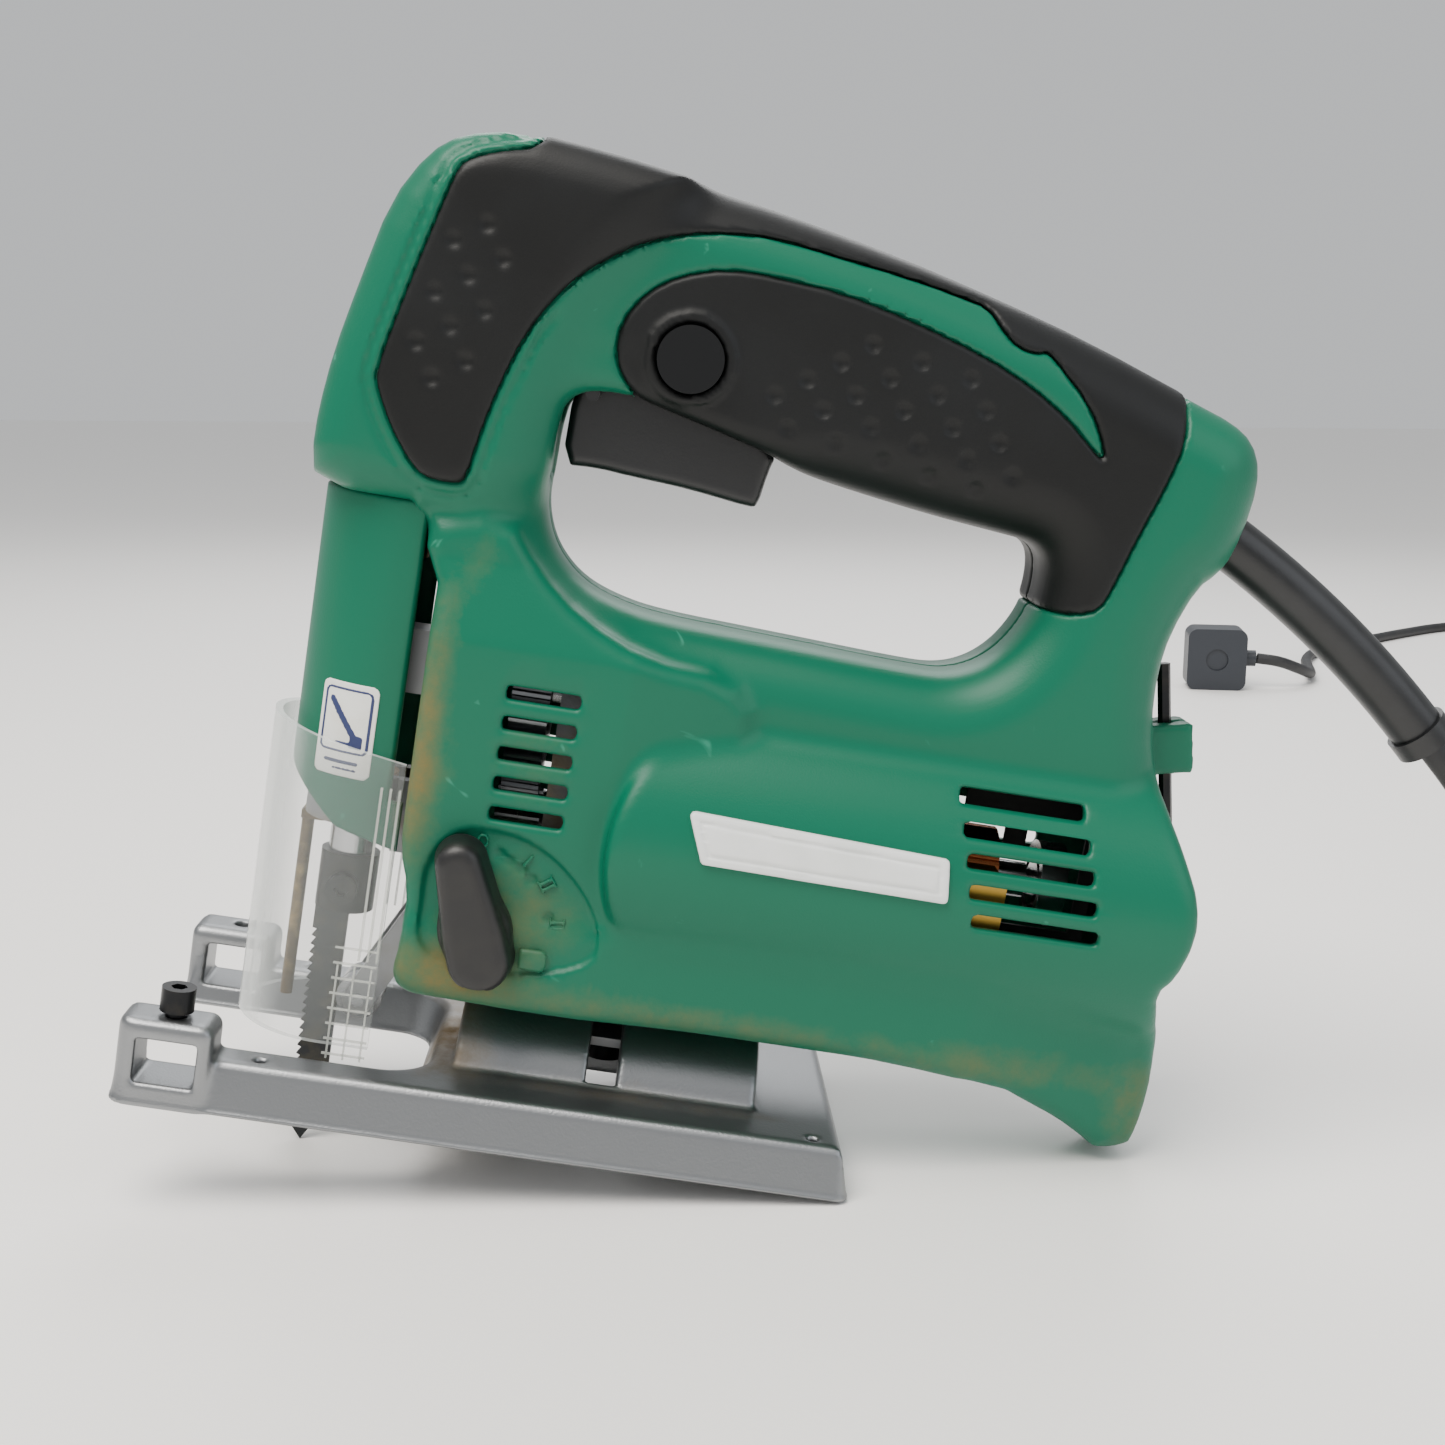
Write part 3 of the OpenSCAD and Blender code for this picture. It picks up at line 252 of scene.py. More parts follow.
def outline(points, rounds=2, grid=None):
    """Distance to a closed outline, less than 0 inside, with its corners cut round."""
    x, z = grid or (X2, Z2)
    p = np.array(points, float)
    for _ in range(rounds):
        q = np.roll(p, -1, 0)
        p = np.stack([0.75 * p + 0.25 * q, 0.25 * p + 0.75 * q], 1).reshape(-1, 2)
    d = np.full(x.shape, 1e9)
    inside = np.zeros(x.shape, bool)
    for a, b in zip(p, np.roll(p, -1, 0)):
        e = b - a
        t = np.clip(((x - a[0]) * e[0] + (z - a[1]) * e[1]) / max(e @ e, 1e-9), 0, 1)
        d = np.minimum(d, (x - a[0] - t * e[0]) ** 2 + (z - a[1] - t * e[1]) ** 2)
        if a[1] != b[1]:
            inside ^= ((a[1] > z) != (b[1] > z)) & (x < a[0] + (z - a[1]) * e[0] / e[1])
    return np.where(inside, -1, 1) * np.sqrt(d)


def merge(a, b, k):
    """Union of two solids with a fillet of about k."""
    h = np.clip(0.5 + 0.5 * (b - a) / k, 0, 1)
    return b * (1 - h) + a * h - k * h * (1 - h)


def cut(a, b, k=0.01):
    """What is in both a and b, with its edge rounded by about k."""
    return -merge(-a, -b, k)


def rounded(a, b, r):
    """What is in both a and b, with the edge between them an arc of radius r."""
    a, b = a + r, b + r
    return np.minimum(np.maximum(a, b), 0) + np.hypot(np.maximum(a, 0), np.maximum(b, 0)) - r


def plate(d, half, r):
    """An outline made a solid of that half width, its edges rounded by r."""
    return rounded(d[:, None, :], V3 - half, r)


def slot(x0, z0, x1, z1, r=0.8):
    """Distance to an upright rectangle in X and Z with rounded corners."""
    return rounded(np.abs(X2 - (x0 + x1) / 2) - (x1 - x0) / 2,
                   np.abs(Z2 - (z0 + z1) / 2) - (z1 - z0) / 2, r)


def skin(field, axes):
    """The surface where a sampled field is 0: points in mm and four-sided faces."""
    s = field < 0
    shape = [n - 1 for n in field.shape]
    corners = list(itertools.product((0, 1), repeat=3))
    count = sum(s[i:shape[0] + i, j:shape[1] + j, k:shape[2] + k].astype(np.int8)
                for i, j, k in corners)
    cell = np.argwhere((count > 0) & (count < 8))
    number = np.full(shape, -1, np.int64)
    number[tuple(cell.T)] = np.arange(len(cell))
    value = {c: field[cell[:, 0] + c[0], cell[:, 1] + c[1], cell[:, 2] + c[2]] for c in corners}
    total = np.zeros((len(cell), 3))
    hits = np.zeros(len(cell))
    for a, b in itertools.combinations(corners, 2):
        if sum(abs(i - j) for i, j in zip(a, b)) != 1:
            continue
        crossed = (value[a] < 0) != (value[b] < 0)
        t = value[a] / np.where(crossed, value[a] - value[b], 1)
        total += np.where(crossed[:, None], np.array(a) + t[:, None] * (np.array(b) - a), 0)
        hits += crossed
    points = cell + total / hits[:, None]
    faces = []
    for axis in range(3):
        u, w = (axis + 1) % 3, (axis + 2) % 3
        low = [slice(1, None)] * 3
        low[axis] = slice(0, -1)
        high = [slice(1, None)] * 3
        high[axis] = slice(1, None)
        a, b = s[tuple(low)], s[tuple(high)]
        for inside_first in (True, False):
            e = np.argwhere((a != b) & (a == inside_first))
            for other in (u, w):
                e[:, other] += 1
            e = e[(e[:, u] < shape[u]) & (e[:, w] < shape[w])]
            du, dw = np.eye(3, dtype=int)[u], np.eye(3, dtype=int)[w]
            ring = [number[tuple((e - m).T)] for m in (du + dw, dw, 0 * du, du)]
            faces.append(np.stack(ring if inside_first else ring[::-1], 1))
    start = np.array([ax[0] for ax in axes])
    spacing = np.array([ax[1] - ax[0] for ax in axes])
    faces = np.concatenate(faces)
    return start + points * spacing, faces[(faces >= 0).all(1)]


def moulded(name, field, mat, axes=None, mirror=False):
    """A smooth-shaded mesh of a field sampled in the tool's frame. mirror puts it at -Y."""
    points, faces = skin(field, axes or (gx, gy, gz))
    if mirror:
        points[:, 1] *= -1
        faces = faces[:, ::-1]
    obj = link_mesh(name, to_row(points), faces.tolist(), mat)
    obj.data.shade_smooth()
    return obj, points


body_line = outline([
    (-134, 130), (-133.7, 137), (-133.5, 145), (-131.9, 157), (-128.7, 171), (-124.5, 188),
    (-118.3, 198.5), (-112, 203.2), (-101, 205.5), (-82, 204), (-62, 201.5), (-47, 199.5),
    (-22, 195), (0, 190), (21, 184.5), (47, 176), (55, 173.5), (60, 170.3), (63, 164.5),
    (63.2, 156), (61, 145), (58.5, 140.5), (55, 137), (51.5, 127), (50.5, 118), (51.5, 107),
    (56, 91), (60, 82), (63.5, 74), (64.3, 66), (62, 56), (59.5, 52.5), (62, 46), (64.5, 40),
    (65.8, 31), (65.5, 22), (64.2, 14.5), (62.3, 11.6), (59.5, 10.4), (56, 11.3), (51, 14.6), (45, 18),
    (38, 21), (30, 24.5), (5, 26.7), (-8, 27), (-98, 27), (-103, 29.5), (-101.5, 38),
    (-102, 50), (-104.6, 58), (-104.8, 70), (-104.8, 129)], 1)
opening_line = outline([
    (-83.5, 156), (-84.9, 149), (-84.9, 141), (-85, 134), (-83.4, 127.6), (-80.3, 122.4),
    (-75, 117.8), (-67.7, 115), (-58, 113.2), (-33, 112.3), (-2.5, 111), (4.7, 111.3),
    (10.5, 113.5), (15, 117.3), (18.2, 122), (20.3, 127), (20.9, 132), (20.6, 136.7),
    (19.4, 139.8), (16.4, 141.6), (10, 142.2), (-3.4, 143.4), (-19, 145.4), (-31, 147.3),
    (-37, 149), (-42, 151), (-60, 155.5), (-74, 158)], 2)
frame_line = np.maximum(body_line, -opening_line)
head_line = np.maximum(frame_line, outline([
    (-140, 128), (-140, 212), (-62, 212), (-72, 192), (-82, 178), (-89, 160), (-92, 128)]))
gear_line = np.maximum(body_line, outline([
    (-112, 20), (-112, 126), (-92, 130), (-84, 120), (-74, 112), (-60, 106), (-42, 104),
    (-34, 96), (-34, 40), (-30, 20)], 1))
keel_line = np.maximum(body_line, outline([
    (-112, 4), (-112, 44), (-60, 50), (60, 52), (70, 50), (70, 4)], 1))
gear_half = 27 - np.clip((Z2 - 104) / 16, 0, 1) * 4 - np.clip((X2 + 62) / 26, 0, 1) * 5

# the handle is almost round, but has a square rim round the trigger
frame_round = 13.5 - 10 * np.exp(-((X2 + 62) / 30) ** 4 - ((Z2 - 150) / 14) ** 4)
shape = merge(plate(frame_line, 19.5, frame_round[:, None, :]), plate(head_line, 24, 9), 9)
shape = merge(shape, plate(gear_line, gear_half[:, None, :], 4), 4)
barrel = np.hypot(V3, Z3 - motor_z) - barrel_r
barrel = cut(barrel, np.hypot(np.minimum(X3 + 23, 0), Z3 - motor_z) - 39, 3)
barrel = cut(barrel, (body_line + 0.2)[:, None, :], 5)
shape = merge(shape, barrel, 2.5)
keel_half = 27 - np.clip((X2 - 20) / 40, 0, 1) * 8
shape = merge(shape, plate(keel_line, keel_half[:, None, :], 5), 4)
shape = cut(shape, -opening_line[:, None, :], 2)
shape = cut(shape, (body_line - 0.1)[:, None, :], 2)

# the soft grip covers the head's side, the handle's top and its rear, round a green crescent
grip_line = outline([
    (-95.8, 202.5), (-104.7, 200.1), (-108.9, 198.2), (-111.2, 196.1), (-113, 189.7),
    (-117.7, 172.3), (-121.9, 154.8), (-121.2, 151.3), (-117.5, 143.9), (-112, 136.6),
    (-108.2, 135), (-102.7, 135), (-101.3, 136.6), (-99.7, 145.9), (-97.4, 155.3),
    (-93.6, 166.6), (-89.3, 174), (-84.7, 179.6), (-79.9, 183.5), (-74.3, 187.5),
    (-65.8, 191.1), (-57.1, 192.9), (-47.3, 193.6), (-33.2, 192), (-18.4, 190.4),
    (-8.3, 188.7), (-1.6, 187.4), (1.6, 183.2), (5.1, 180.4), (9.2, 179.7), (11.5, 180.8),
    (15.7, 176.9), (20.6, 172.4), (24.7, 166.8), (27.5, 160), (22.9, 163.6), (18.1, 167.7),
    (9.2, 173), (-1.5, 177.4), (-17.1, 181.9), (-32.2, 185), (-46.8, 185.9), (-56.3, 185.7),
    (-65.4, 182.8), (-71.4, 178.5), (-75.3, 172.2), (-75.6, 165.6), (-73.5, 161.2),
    (-69.1, 157.2), (-60.9, 154.7), (-50.7, 152), (-40.6, 149.8), (-37, 147.5), (-36, 140),
    (0, 132), (14, 124), (18.8, 128.7), (22.5, 128), (27.5, 128.3), (32.2, 130.3),
    (34.1, 135.7), (37, 146.2), (40.7, 157.6), (42.8, 166.8), (43, 176), (46, 192),
    (-40, 216), (-90, 216), (-95.8, 208)], 1)
dial_line = outline([
    (-98.2, 47.6), (-98.5, 54.4), (-96.4, 61.2), (-89.8, 66), (-79.5, 65.5), (-70.5, 60.9),
    (-63.2, 53.4), (-59.8, 45.2), (-62, 40), (-72, 36.5), (-80, 35.5), (-92, 36), (-98, 40)])
detents = [(-81.3, 59.4), (-76.3, 56.3), (-83.5, 60.6), (-78.8, 58.1), (-71.4, 48.6)]
key_x, key_z, key_lean = 67.8, 56, math.radians(12.6)
along_key = -(X3 - key_x) * math.sin(key_lean) + (Z3 - key_z) * math.cos(key_lean)
off_key = (X3 - key_x) * math.cos(key_lean) + (Z3 - key_z) * math.sin(key_lean)


def box3(x0, x1, half_y, z0, z1):
    """Distance to a block across the mid plane."""
    return np.maximum(np.maximum(np.abs(X3 - (x0 + x1) / 2) - (x1 - x0) / 2, V3 - half_y),
                      np.abs(Z3 - (z0 + z1) / 2) - (z1 - z0) / 2)


def casing(near):
    """One half's field. near is the side with the orbital lever and the dial."""
    out = shape
    if near:
        out = np.maximum(out, -np.maximum(dial_line[:, None, :], -(shape + 1.2)))
        for x, z in detents:
            dimple = np.hypot(np.hypot(X3 - x, Z3 - z), shape + 1.2 - 1.1) - 1.9
            out = np.maximum(out, -dimple)
        tab = np.maximum(slot(-76.5, 37.4, -70.5, 42.2, 1)[:, None, :], np.abs(shape) - 0.8)
        out = np.minimum(out, tab)
    else:
        room = np.maximum((Z3 - V3 - 15) / math.sqrt(2), Z3 - 40.5)
        out = cut(out, -room, 1.5)
    # the grip lies in a shallow pocket; a fine groove runs round the head's panel
    pocket = (grip_line - 0.3)[:, None, :]
    out = np.maximum(out, -np.maximum(pocket, -(shape + 1.3)))
    groove = np.maximum(np.abs(grip_line - 2.4) - 0.6, np.maximum(X2 + 88, 131 - Z2))
    out = np.maximum(out, -np.maximum(groove[:, None, :], -(shape + 0.6)))
    out = np.maximum(out, -(shape + wall))
    # bracket and clip for the hex key
    bracket = np.maximum(np.maximum(np.abs(off_key + 4.5) - 9.5, V3 - 5.5), np.abs(along_key - 46.5) - 5.5)
    clip = np.maximum(np.maximum(np.abs(off_key + 2.2) - 5.8, V3 - 4), np.abs(along_key - 5.5) - 2.5)
    fitting = cut(np.minimum(bracket, clip), -(shape + 2), 0.5)
    out = merge(out, fitting, 1.0)
    out = np.maximum(out, 1.7 - np.hypot(off_key, V3))
    # vents: five slots beside the gears and five beside the brushes
    for i in range(5):
        front = slot(-87, 93.5 - 6.4 * i, -71.5, 96.4 - 6.4 * i)
        rear = slot(9.5 + 1.45 * i, 86.1 - 6.05 * i, 36.6 + 1.45 * i, 89.2 - 6.05 * i)
        out = np.maximum(out, -np.maximum(np.minimum(front, rear)[:, None, :], 12 - V3))
    for i in range(4):
        z0 = 47 + 6.2 * i
        out = np.maximum(out, -np.maximum(slot(53, z0, 70, z0 + 2.8)[:, None, :], np.abs(V3 - 12) - 6.5))
    # the yoke's slot in the face, the foot's slots, the rod's hole and the trigger's slot
    for x0, x1, half_y, z0, z1 in ((-106, -99, 12.5, 50, 115), (-112, -84, 9.4, 15, 52),
                                   (-76.5, -41.5, 8.5, 15, 40), (-86, -37, 10.6, 138, 164)):
        out = np.maximum(out, -box3(x0, x1, half_y, z0, z1))
    out = np.maximum(out, np.minimum(6.5 - np.hypot(X3 + 117, V3), 152 - Z3))
    # strain relief's seat and the parting line
    turned = math.radians(-26)
    along = (X3 - 60) * math.cos(turned) + (Z3 - 149) * math.sin(turned)
    away = -(X3 - 60) * math.sin(turned) + (Z3 - 149) * math.cos(turned)
    out = np.maximum(out, -np.maximum(np.hypot(away, V3) - 6.5, np.abs(along + 1) - 15))
    if near:
        for x, z, r in ((lever_x, lever_z, 3.3), (lock_x, lock_z, 7.1)):
            out = np.maximum(out, -np.maximum(np.hypot(X3 - x, Z3 - z) - r, 9 - V3))
    else:
        for x, z in SCREWS:
            seat = SEAT[(x, z)]
            out = np.maximum(out, -np.maximum(np.hypot(X3 - x, Z3 - z) - 3.9, seat - V3))
    return np.maximum(out, 0.06 - V3)


SCREWS = [(-118, 161), (-90, 190), (0, 168), (36, 112), (57.5, 30), (-95, 64.5), (-30, 104)]
SEAT = {(-118, 161): 19, (-90, 190): 19, (0, 168): 15, (36, 112): 15, (57.5, 30): 12,
        (-95, 64.5): 22, (-30, 104): 17}


def dusted(obj, points):
    """Marks how much sawdust has settled, from 0 to 1, near the slots, dial and lower edge."""
    x, y, z = points.T
    spots = [(-103, 72, 5, 16, 0.9), (-102, 98, 4, 22, 0.6), (-79, 82, 14, 16, 0.35),
             (-80, 48, 17, 13, 0.6), (-92, 34, 14, 6, 0.9), (-40, 31, 45, 4, 0.55),
             (30, 30, 30, 6, 0.5), (61, 22, 7, 12, 0.6), (-95, 120, 5, 12, 0.3),
             (25, 76, 22, 16, 0.12), (-84, 128, 5, 9, 0.25)]
    dust = sum(a * np.exp(-((x - px) / sx) ** 2 - ((z - pz) / sz) ** 2)
               for px, pz, sx, sz, a in spots)
    layer = obj.data.attributes.new("sawdust", "FLOAT", "POINT")
    layer.data.foreach_set("value", np.clip(dust, 0, 1).astype(np.float32))


def dusty(name, colour, roughness, grain, dust_colour="#75643a", scuff="#3f9f83"):
    """Moulded plastic with fine texture, sawdust where the mesh says, and a few pale scuffs."""
    mat = surface(name, colour, roughness, ior=1.36, grain=grain)
    tree = mat.node_tree
    bsdf = next(n for n in tree.nodes if n.type == "BSDF_PRINCIPLED")
    place = next(n for n in tree.nodes if n.type == "TEX_COORD").outputs["Object"]
    settled = add(tree, "ShaderNodeAttribute", attribute_name="sawdust").outputs["Fac"]
    cloud = add(tree, "ShaderNodeTexNoise", Vector=place, Scale=140.0, Detail=8.0, Roughness=0.7)
    patch = add(tree, "ShaderNodeMath", operation="MULTIPLY")
    tree.links.new(settled, patch.inputs[0])
    tree.links.new(cloud.outputs["Fac"], patch.inputs[1])
    strength = add(tree, "ShaderNodeMapRange", Value=patch.outputs["Value"])
    strength.inputs["From Min"].default_value = 0.12
    strength.inputs["From Max"].default_value = 0.62
    strength.inputs["To Max"].default_value = 0.85
    scratch = add(tree, "ShaderNodeTexNoise", Vector=place, Scale=60.0, Detail=3.0, Distortion=2.0)
    mark = add(tree, "ShaderNodeMapRange", Value=scratch.outputs["Fac"])
    mark.inputs["From Min"].default_value = 0.71
    mark.inputs["From Max"].default_value = 0.76
    mark.inputs["To Max"].default_value = 0.35
    pale = add(tree, "ShaderNodeMix", data_type="RGBA")
    tree.links.new(mark.outputs["Result"], pale.inputs["Factor"])
    pale.inputs[6].default_value = linear(colour)
    pale.inputs[7].default_value = linear(scuff)
    mix = add(tree, "ShaderNodeMix", data_type="RGBA")
    tree.links.new(strength.outputs["Result"], mix.inputs["Factor"])
    tree.links.new(pale.outputs[2], mix.inputs[6])
    mix.inputs[7].default_value = linear(dust_colour)
    tree.links.new(mix.outputs[2], bsdf.inputs["Base Color"])
    rough = add(tree, "ShaderNodeMapRange", Value=strength.outputs["Result"])
    rough.inputs["To Min"].default_value = roughness
    rough.inputs["To Max"].default_value = 0.9
    tree.links.new(rough.outputs["Result"], bsdf.inputs["Roughness"])
    return mat


# glass-filled nylon, moulded on a spark-eroded tool: even matt sheen, slightly cloudy green
nylon = dusty("green_glass_filled_nylon", "#005f46", 0.4, (0.45, 0.03))
for name, near in (("casing_near", True), ("casing_far", False)):
    half, at = moulded(name, casing(near), nylon, mirror=near)
    dusted(half, at)
    thin = half.modifiers.new("thin", "DECIMATE")
    thin.ratio = 0.6
    fewer = bpy.data.meshes.new_from_object(
        half.evaluated_get(bpy.context.evaluated_depsgraph_get()))
    half.modifiers.clear()
    half.data = fewer
    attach(half, "casing")
    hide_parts("housing_left" if near else "housing_right")


# ---- Soft grips ----
# Black thermoplastic rubber moulded over the casing: a panel on each side of the head,
# the handle's top and rear, and a dimpled panel where the palm lies.
dimples = [
    (-104, 186.1), (-110.2, 182.1), (-100.1, 180.1), (-106.4, 175.8), (-112.5, 171.7),
    (-102.3, 169.7), (-108.6, 165.6), (-114.7, 161.5), (-104.6, 159.3), (-110.8, 155),
    (-24.4, 176), (-14, 174.1), (-3.5, 172.4), (0.7, 166.7), (-30.3, 171.4), (-19.9, 169.9),
    (-9.7, 168.2), (-5.4, 162.2), (4.6, 160.8), (-36.4, 166.9), (-26.1, 165.4), (-15.9, 164),
    (-1.3, 156.5), (8.6, 154.6), (-42.5, 162.7), (-32.2, 161.3), (-22, 159.6), (-11.8, 157.9),
    (-28.5, 155.4), (-18.3, 153.7), (-8.3, 152.1), (1.8, 150.9), (-38.8, 156.7)]
grip = cut(shape - 0.55, (grip_line - 0.05)[:, None, :], 1.3)
grip = np.maximum(grip, -(shape + 1.25))
for x, z in dimples:
    grip = np.maximum(grip, 2.7 - np.hypot(np.hypot(X3 - x, Z3 - z), shape - 0.55 - 1.9))
grip = np.maximum(grip, -box3(-86, -37, 10.6, 138, 164))
# thermoplastic rubber: near black, matt, a little polished by the hand
soft = surface("thermoplastic_rubber", "#040505", 0.48, ior=1.38, wear=(30, "#0c0f11", 0.6),
               grain=(0.35, 0.025))
for name, near in (("grip_near", True), ("grip_far", False)):
    field = np.maximum(grip, 0.06 - V3)
    if near:
        ring = np.hypot(X3 - lock_x, Z3 - lock_z)
        rim = np.maximum(np.abs(ring - 8.2) - 1.1, np.abs(shape - 0.8) - 0.6)
        field = np.minimum(field, rim)
        field = np.maximum(field, np.minimum(7.1 - ring, V3 - 9))
    else:
        for x, z in SCREWS:
            field = np.maximum(field, np.minimum(3.9 - np.hypot(X3 - x, Z3 - z), V3 - 9))
    piece, _ = moulded(name, field, soft, mirror=near)
    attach(piece, "casing")
    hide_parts("grip_left" if near else "grip_right")


# ---- Nose cover ----
# A separate green moulding round the plunger, with a rounded front and a slanted lower
# edge. It slides up behind the head's lip and leaves a dark slot before the gear box.
nx, ny, nz = np.arange(-134, -105, 0.6), np.arange(-21, 21.3, 0.6), np.arange(43, 131.5, 0.6)
NX, NY, NZ = nx[:, None, None], ny[None, :, None], nz[None, None, :]
nose_mid, nose_r = -112.7, 19.3
nose = np.hypot(np.minimum(NX - nose_mid, 0), NY) - nose_r
rear_edge = NX + 108.2 - 3.3 * (NZ < 67)
cover_line = cut(cut(nose, rear_edge, 1.5), -(nose + 2.4), 0.5)
lower = np.maximum(-(NZ - 53.5 + (NX + 112) * 0.8), -(NZ - 60 + (NX + 122) * 0.25))
cover_line = cut(cut(cover_line, lower, 1), NZ - 130, 0.8)
nose_cover, at = moulded("nose_cover_shell", cover_line, nylon, (nx, ny, nz))
dusted(nose_cover, at)
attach(nose_cover, "casing")
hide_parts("nose_cover")

# a printed paper label with a plain frame and a blade pictogram, stuck round the nose
lx, ly, lz = np.arange(-129, -111, 0.3), np.arange(-21, -10, 0.3), np.arange(68, 93, 0.3)
LX, LY, LZ = lx[:, None, None], ly[None, :, None], lz[None, None, :]
around = np.arctan2(-(LX - nose_mid), -LY) * nose_r + 0 * LZ
height = LZ + 0 * around
skin_d = np.hypot(LX - nose_mid, LY) - nose_r


def tag(u0, z0, u1, z1, r):
    """Distance to a rectangle with round corners on the label, u round the nose and z up."""
    return rounded(np.abs(around - (u0 + u1) / 2) - (u1 - u0) / 2,
                   np.abs(height - (z0 + z1) / 2) - (z1 - z0) / 2, r)


def bar(u0, z0, u1, z1, half):
    """A straight stroke on the label, from one point to another."""
    du, dz = u1 - u0, z1 - z0
    t = np.clip(((around - u0) * du + (height - z0) * dz) / (du * du + dz * dz), 0, 1)
    return np.hypot(around - u0 - t * du, height - z0 - t * dz) - half


paper_line = tag(0.3, 70.2, 13.7, 90.3, 1.6)
frame_tag = np.abs(tag(1.6, 75.6, 12.4, 88.8, 1.2)) - 0.32
strokes = np.minimum(bar(3.6, 77.6, 10.6, 86.4, 0.75), bar(3.4, 77.4, 8.4, 77.4, 0.4))
strokes = np.minimum(strokes, np.maximum(tag(2.6, 76.6, 5.6, 79.4, 0.3), -tag(3.3, 77.3, 4.9, 78.7, 0.2)))
rows = np.minimum(bar(3.4, 73.4, 10.6, 73.4, 0.45), bar(3.4, 71.9, 8.6, 71.9, 0.3))
for name, line, rise, mat in (
        ("label_paper", paper_line, 0.22,
         surface("coated_paper", "#e4e5e0", 0.4, wear=(6, "#c9c4b4", 0.5))),
        ("label_print", np.minimum(np.minimum(frame_tag, strokes), rows), 0.34,
         surface("printed_ink", "#26305c", 0.45))):
    piece, _ = moulded(name, np.maximum(line, np.abs(skin_d) - rise), mat, (lx, ly, lz))
    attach(piece, "casing")


# ---- Painted shade behind the vents ----
# A black sheet on the mid plane above the commutator, put there as painted shade: it darkens
# the view through both halves' vents, so no daylight shows through the casing.
corners, faces = [], []
for x0, x1, z0, z1 in ((16, 48, 77.6, 95), (26, 31, 71, 77.6), (26, 48, 47, 55.5),
                       (44.5, 48, 55.5, 77.6)):
    n = len(corners)
    corners += [(x, y, z) for y in (-0.5, 0.5) for x, z in ((x0, z0), (x1, z0), (x1, z1), (x0, z1))]
    faces += [[n + k for k in f] for f in (
        (0, 1, 2, 3), (7, 6, 5, 4), (0, 4, 5, 1), (1, 5, 6, 2), (2, 6, 7, 3), (3, 7, 4, 0))]
# painted shade: this flat black sheet stands in for the dark inside of the motor seen through the vents
vent_shade_sheet = link_mesh("vent_painted_shade_sheet", to_row(corners), faces,
                   surface("painted_shade_black", "#050505", 0.7))
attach(vent_shade_sheet, "casing")


# ---- Side badge and dial numerals ----
# A blank raised badge, slanted like a nameplate, in white-painted plastic on the barrel,
# and the dial's raised 0, I, II and III.
bx, by, bz = np.arange(-50, 14, 0.4), np.arange(-36, -27, 0.4), np.arange(62, 82, 0.4)
BY, BZ = by[None, :, None], bz[None, None, :]
B2 = np.meshgrid(bx, bz, indexing="ij")
badge_line = outline([(-45, 76.4), (7.6, 74.6), (8.4, 67.4), (-41.6, 68)], 0, B2) - 1
inner = badge_line + 2
barrel_skin = np.hypot(BY, BZ - motor_z) - barrel_r
badge = cut(badge_line[:, None, :], np.abs(barrel_skin + 0.2) - 1.3, 0.6)
badge = np.maximum(badge, -np.maximum(np.abs(inner)[:, None, :] - 0.35, 0.7 - barrel_skin))
badge, _ = moulded("side_badge", badge, surface(
    "painted_abs", "#e6e8e6", 0.35, wear=(9, "#b4bcb6", 0.25)), (bx, by, bz))
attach(badge, "casing")

dx, dy, dz = np.arange(-101, -57, 0.3), np.arange(-27.6, -24.6, 0.3), np.arange(36, 70, 0.3)
D2 = np.meshgrid(dx, dz, indexing="ij")
dial_r, numeral_half, stroke_pace = 17.6, 1.5, 1.3
numerals = np.full(D2[0].shape, 1e3)
for angle, count in ((91, 0), (57, 1), (36, 2), (4, 3)):
    a = math.radians(angle)
    x0, z0 = lever_x + dial_r * math.cos(a), lever_z + dial_r * math.sin(a)
    along = (D2[0] - x0) * math.cos(a) + (D2[1] - z0) * math.sin(a)
    across = -(D2[0] - x0) * math.sin(a) + (D2[1] - z0) * math.cos(a)
    if count == 0:
        numerals = np.minimum(numerals, np.abs(np.hypot(along, across * 1.4) - 1.4) - 0.3)
    for i in range(count):
        middle = (i - (count - 1) / 2) * stroke_pace
        upright = np.maximum(np.abs(across - middle) - 0.32, np.abs(along) - numeral_half)
        numerals = np.minimum(numerals, upright)
    if count > 1:
        edge = np.abs(np.abs(along) - numeral_half) - 0.2
        serif = np.maximum(edge, np.abs(across) - count * stroke_pace / 2 - 0.2)
        numerals = np.minimum(numerals, serif)
numerals, at = moulded("dial_numerals", np.maximum(
    numerals[:, None, :], np.abs(dy[None, :, None] + 25.9) - 0.55), nylon, (dx, dy, dz))
dusted(numerals, at)
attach(numerals, "casing")


# ---- Orbital lever ----
# A bean-shaped selector in dark grey nylon, pressed on the cam shaft. A ridge along it is
# what the thumb turns.
vx, vy, vz = np.arange(-101, -75, 0.45), np.arange(27.2, 36.5, 0.45), np.arange(34, 66, 0.45)
VX, VY, VZ = vx[:, None, None], vy[None, :, None], vz[None, None, :]
flat = np.hypot(VX + 86.2, VZ - 45) - 7.6
tx, tz = VX + 86, VZ - 44.5
t = np.clip((tx * -5 + tz * 14.5) / (5 ** 2 + 14.5 ** 2), -0.35, 1)
ridge = np.hypot(tx + 5 * t, tz - 14.5 * t) - 6.8 + 1.6 * np.clip(t, 0, 1) + 0.12 * (VY - 31)
lever = merge(cut(flat, VY - 31.5, 1.6), cut(ridge, VY - 35.9, 3.0), 1.5)
lever = cut(lever, 27.35 - VY, 0.5)
lever, _ = moulded("orbital_lever_knob", lever, surface(
    "dark_nylon", "#101011", 0.42, wear=(7, "#2b2924", 0.4), grain=(0.5, 0.03)),
    (vx, vy, vz), mirror=True)
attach(lever, "selector")
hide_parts("orbital_lever")


